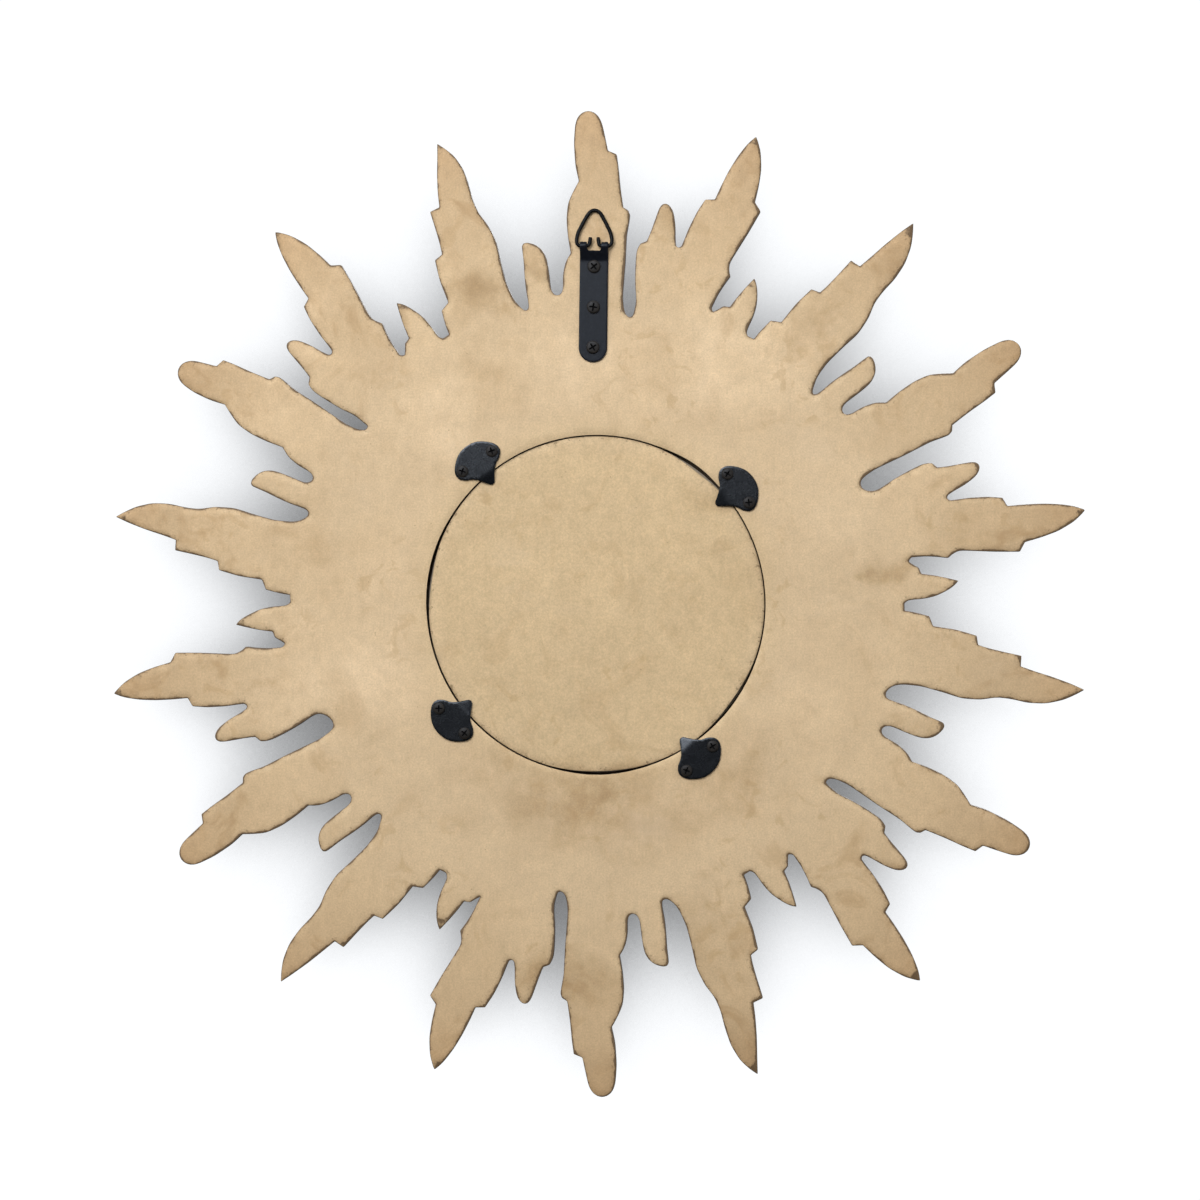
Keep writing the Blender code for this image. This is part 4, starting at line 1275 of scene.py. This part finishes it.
def card_finish():
    f = Finish("grey_card")
    fibre = f.noise(700.0, 4.0, 0.7, 0.5, f.stretch((1.0, 1.0, 0.4)))
    color = f.shade((0.30, 0.25, 0.19, 1.0), fibre, 0.82, 1.18)
    return f.done(color, 0.9, 0.0, f.bump(fibre, 0.0001, 0.4))


def floor_finish():
    f = Finish("pale_floor")
    color = f.shade((0.86, 0.86, 0.86, 1.0), f.noise(6.0, 2.0, 0.5), 0.99, 1.01)
    return f.done(color, 0.85, Emission_Color=(1.0, 1.0, 1.0, 1.0), Emission_Strength=0.75)


# ---- stage

FLOOR_DROP = 75.0 * MM  # from the object's lowest point to the floor
FLOOR_HALF = 3.0
GROUND_GAP = 3.0 * MM  # from the object's front to the white ground
GROUND_HALF = 0.5
GROUND_DOWN = 0.375  # how far the ground reaches below the axis
GROUND_SLANT = 0.0131  # keeps the ground's lit side turned away from a viewer at +X
SHADE_REACH = 0.11  # how far the ground looks for what shades it
SHADE_LEAN = (-0.10, 1.0, 0.16)  # which way the ground's painted shade leans, from where its light seems to come
SHADE_LEVELS = (0.10, 0.74, 0.15, 1.06)  # openness from and to, brightness from and to
WORLD_SLOPE = (0.1, -0.55, 0.8)
WORLD_LOW = 0.05
WORLD_HIGH = 0.85
# Lamps: name, place, width, height and watts.
LAMPS = (
    ("key_back", (0.62, 2.0, 0.78), 1.5, 1.3, 46.0),
    ("fill_back", (-1.6, 1.4, 0.0), 0.9, 1.2, 6.0),
    ("key_front", (-0.8, -1.9, 0.9), 1.3, 1.1, 31.0),
    ("fill_front", (1.5, -1.4, 0.0), 0.8, 1.2, 7.0),
)


def stage_plane(name, corners, mat):
    """A plane that only the camera sees, so that it doesn't light or shade the object."""
    mesh = bpy.data.meshes.new(name)
    mesh.from_pydata(corners, [], [(0, 1, 2, 3)])
    mesh.materials.append(mat)
    obj = add_object(name, mesh)
    obj.visible_diffuse = False
    obj.visible_glossy = False
    obj.visible_shadow = False


def ground_finish():
    """White glowing ground, seen from the object's back only, with painted shade round the object.
    """
    mat = bpy.data.materials.new("white_ground")
    n = Nodes(mat)
    n.tree.nodes.clear()
    lean = n.add("CombineXYZ", dict(enumerate(Vector(SHADE_LEAN).normalized())))
    shade = {"Distance": SHADE_REACH, "Normal": lean}
    open_share = n.add("AmbientOcclusion", shade, "AO", samples=12)
    level = n.span(open_share, *SHADE_LEVELS)
    # the ground glows; its shade is painted from occlusion, not cast by the lamps
    white = n.add("Emission", {"Color": (0.965, 0.98, 1.0, 1.0), "Strength": level})
    clear = n.add("BsdfTransparent", {})
    n.end_in_mix("Material", n.add("NewGeometry", {}, "Backfacing"), white, clear)
    return mat


def set_world():
    """White to the camera; as light, bright overhead and dim below and behind the camera."""
    world = bpy.data.worlds.new("studio")
    bpy.context.scene.world = world
    n = Nodes(world)
    n.tree.nodes.clear()
    coords = n.add("TexCoord", {}, "Generated")
    slope = n.vector("DOT_PRODUCT", coords, WORLD_SLOPE, output="Value")
    level = n.fade(slope, -0.9, 0.9, WORLD_LOW, WORLD_HIGH)
    light = n.add("Background", {"Color": (0.94, 0.97, 1.0, 1.0), "Strength": level})
    white = n.add("Background", {"Color": (1.0, 1.0, 1.0, 1.0)})
    n.end_in_mix("World", n.add("LightPath", {}, "Is Camera Ray"), light, white)


def build_stage():
    low = Vector(CAD_BOX[0])
    signs = ((-1, -1), (1, -1), (1, 1), (-1, 1))
    level = low.z - FLOOR_DROP
    corners = [(FLOOR_HALF * x, FLOOR_HALF * y, level) for x, y in signs]
    stage_plane("pale_floor", corners, floor_finish())
    ground_y = low.y - GROUND_GAP
    corners = []
    for side, rise in ((1, -GROUND_DOWN), (-1, -GROUND_DOWN), (-1, GROUND_HALF), (1, GROUND_HALF)):
        across = GROUND_HALF * side
        corners.append((CENTRE_X + across, ground_y + GROUND_SLANT * across, CENTRE_Z + rise))
    stage_plane("white_ground", corners, ground_finish())


def build_camera():
    data = bpy.data.cameras.new("camera")
    data.sensor_width = SENSOR_MM
    data.lens = SENSOR_MM * VIEW_DISTANCE / FIELD_WIDTH
    data.clip_start = 0.05
    data.clip_end = 50.0
    camera = add_object("camera", data)
    aim = BACK_TO_WORLD @ Vector((AIM_ACROSS, AIM_UP, 0.0))
    angle = math.radians(VIEW_AZIMUTH)
    back = Vector((math.sin(angle), -math.cos(angle), 0.0))
    camera.location = aim + back * VIEW_DISTANCE
    camera.rotation_euler = (-back).to_track_quat("-Z", "Y").to_euler()
    bpy.context.scene.camera = camera


def build_lights():
    set_world()
    aim = Vector((CENTRE_X, 0.0, CENTRE_Z))
    for name, spot, width, height, power in LAMPS:
        data = bpy.data.lights.new(name, "AREA")
        data.shape = "RECTANGLE"
        data.size = width
        data.size_y = height
        data.energy = power
        light = add_object(name, data)
        light.location = spot
        light.rotation_euler = (aim - Vector(spot)).to_track_quat("-Z", "Y").to_euler()
    bpy.context.scene.view_settings.view_transform = "Standard"
    bpy.context.scene.view_settings.look = "None"


# ---- assembly


def fit_out(obj, mat, node, body="mirror"):
    obj.data.materials.clear()
    obj.data.materials.append(mat)
    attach(obj, body)
    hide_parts(node)


def main():
    build_camera()
    build_lights()
    build_stage()
    fit_out(build_frame(), gilt_finish("gilt_back"), "sunburst_frame")
    board = gilt_finish("gilt_board", board=True)
    fit_out(build_board(), board, "back_board")
    fit_out(build_glass(), mirror_finish(), "mirror_glass")
    card = card_finish()
    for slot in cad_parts["cushion_ring"].material_slots:
        slot.material = card

    clip_black = black_finish("clip_coat", (0.003, 0.0034, 0.0045), 0.24, 0.29, 0.46)
    screw_black = black_finish("screw_coat", (0.018, 0.0150, 0.0125), 0.40, 0.48, 0.22)
    strap_black = black_finish("strap_coat", (0.006, 0.007, 0.0105), 0.31, 0.36, 0.20, 1300.0)
    ring_black = black_finish("ring_coat", (0.0025, 0.0022, 0.002), 0.30, 0.36, 0.12)

    def add_screw(node, head_r, holder, place, turn_deg):
        matrix = holder @ Matrix.Translation(place) @ turned(turn_deg)
        screw = build_screw(node, head_r, matrix)
        fit_out(screw, screw_black, node)

    turn = 0.0
    for name, angle_deg, out, twist in CLIPS:
        matrix = clip_matrix(angle_deg, out, twist)
        fit_out(build_clip(name, matrix), clip_black, name)
        for side, label in ((-1, "a"), (1, "b")):
            turn += CLIP_SCREW_TURN_DEG
            place = (side * CLIP_SCREW_X, 0.0, SEAT)
            add_screw("screw_" + name + "_" + label, CLIP_HEAD_R, matrix, place, turn)
    for number, height in enumerate(STRAP_SCREWS, 1):
        node, place = "screw_strap_" + str(number), (0.0, height, SEAT)
        turn = STRAP_SCREW_TURN_DEG * number
        add_screw(node, STRAP_HEAD_R, hanger_matrix(), place, turn)
    fit_out(build_strap(), strap_black, "hanger_strap")
    fit_out(build_ring(), ring_black, "hanging_ring", body="ring")


main()
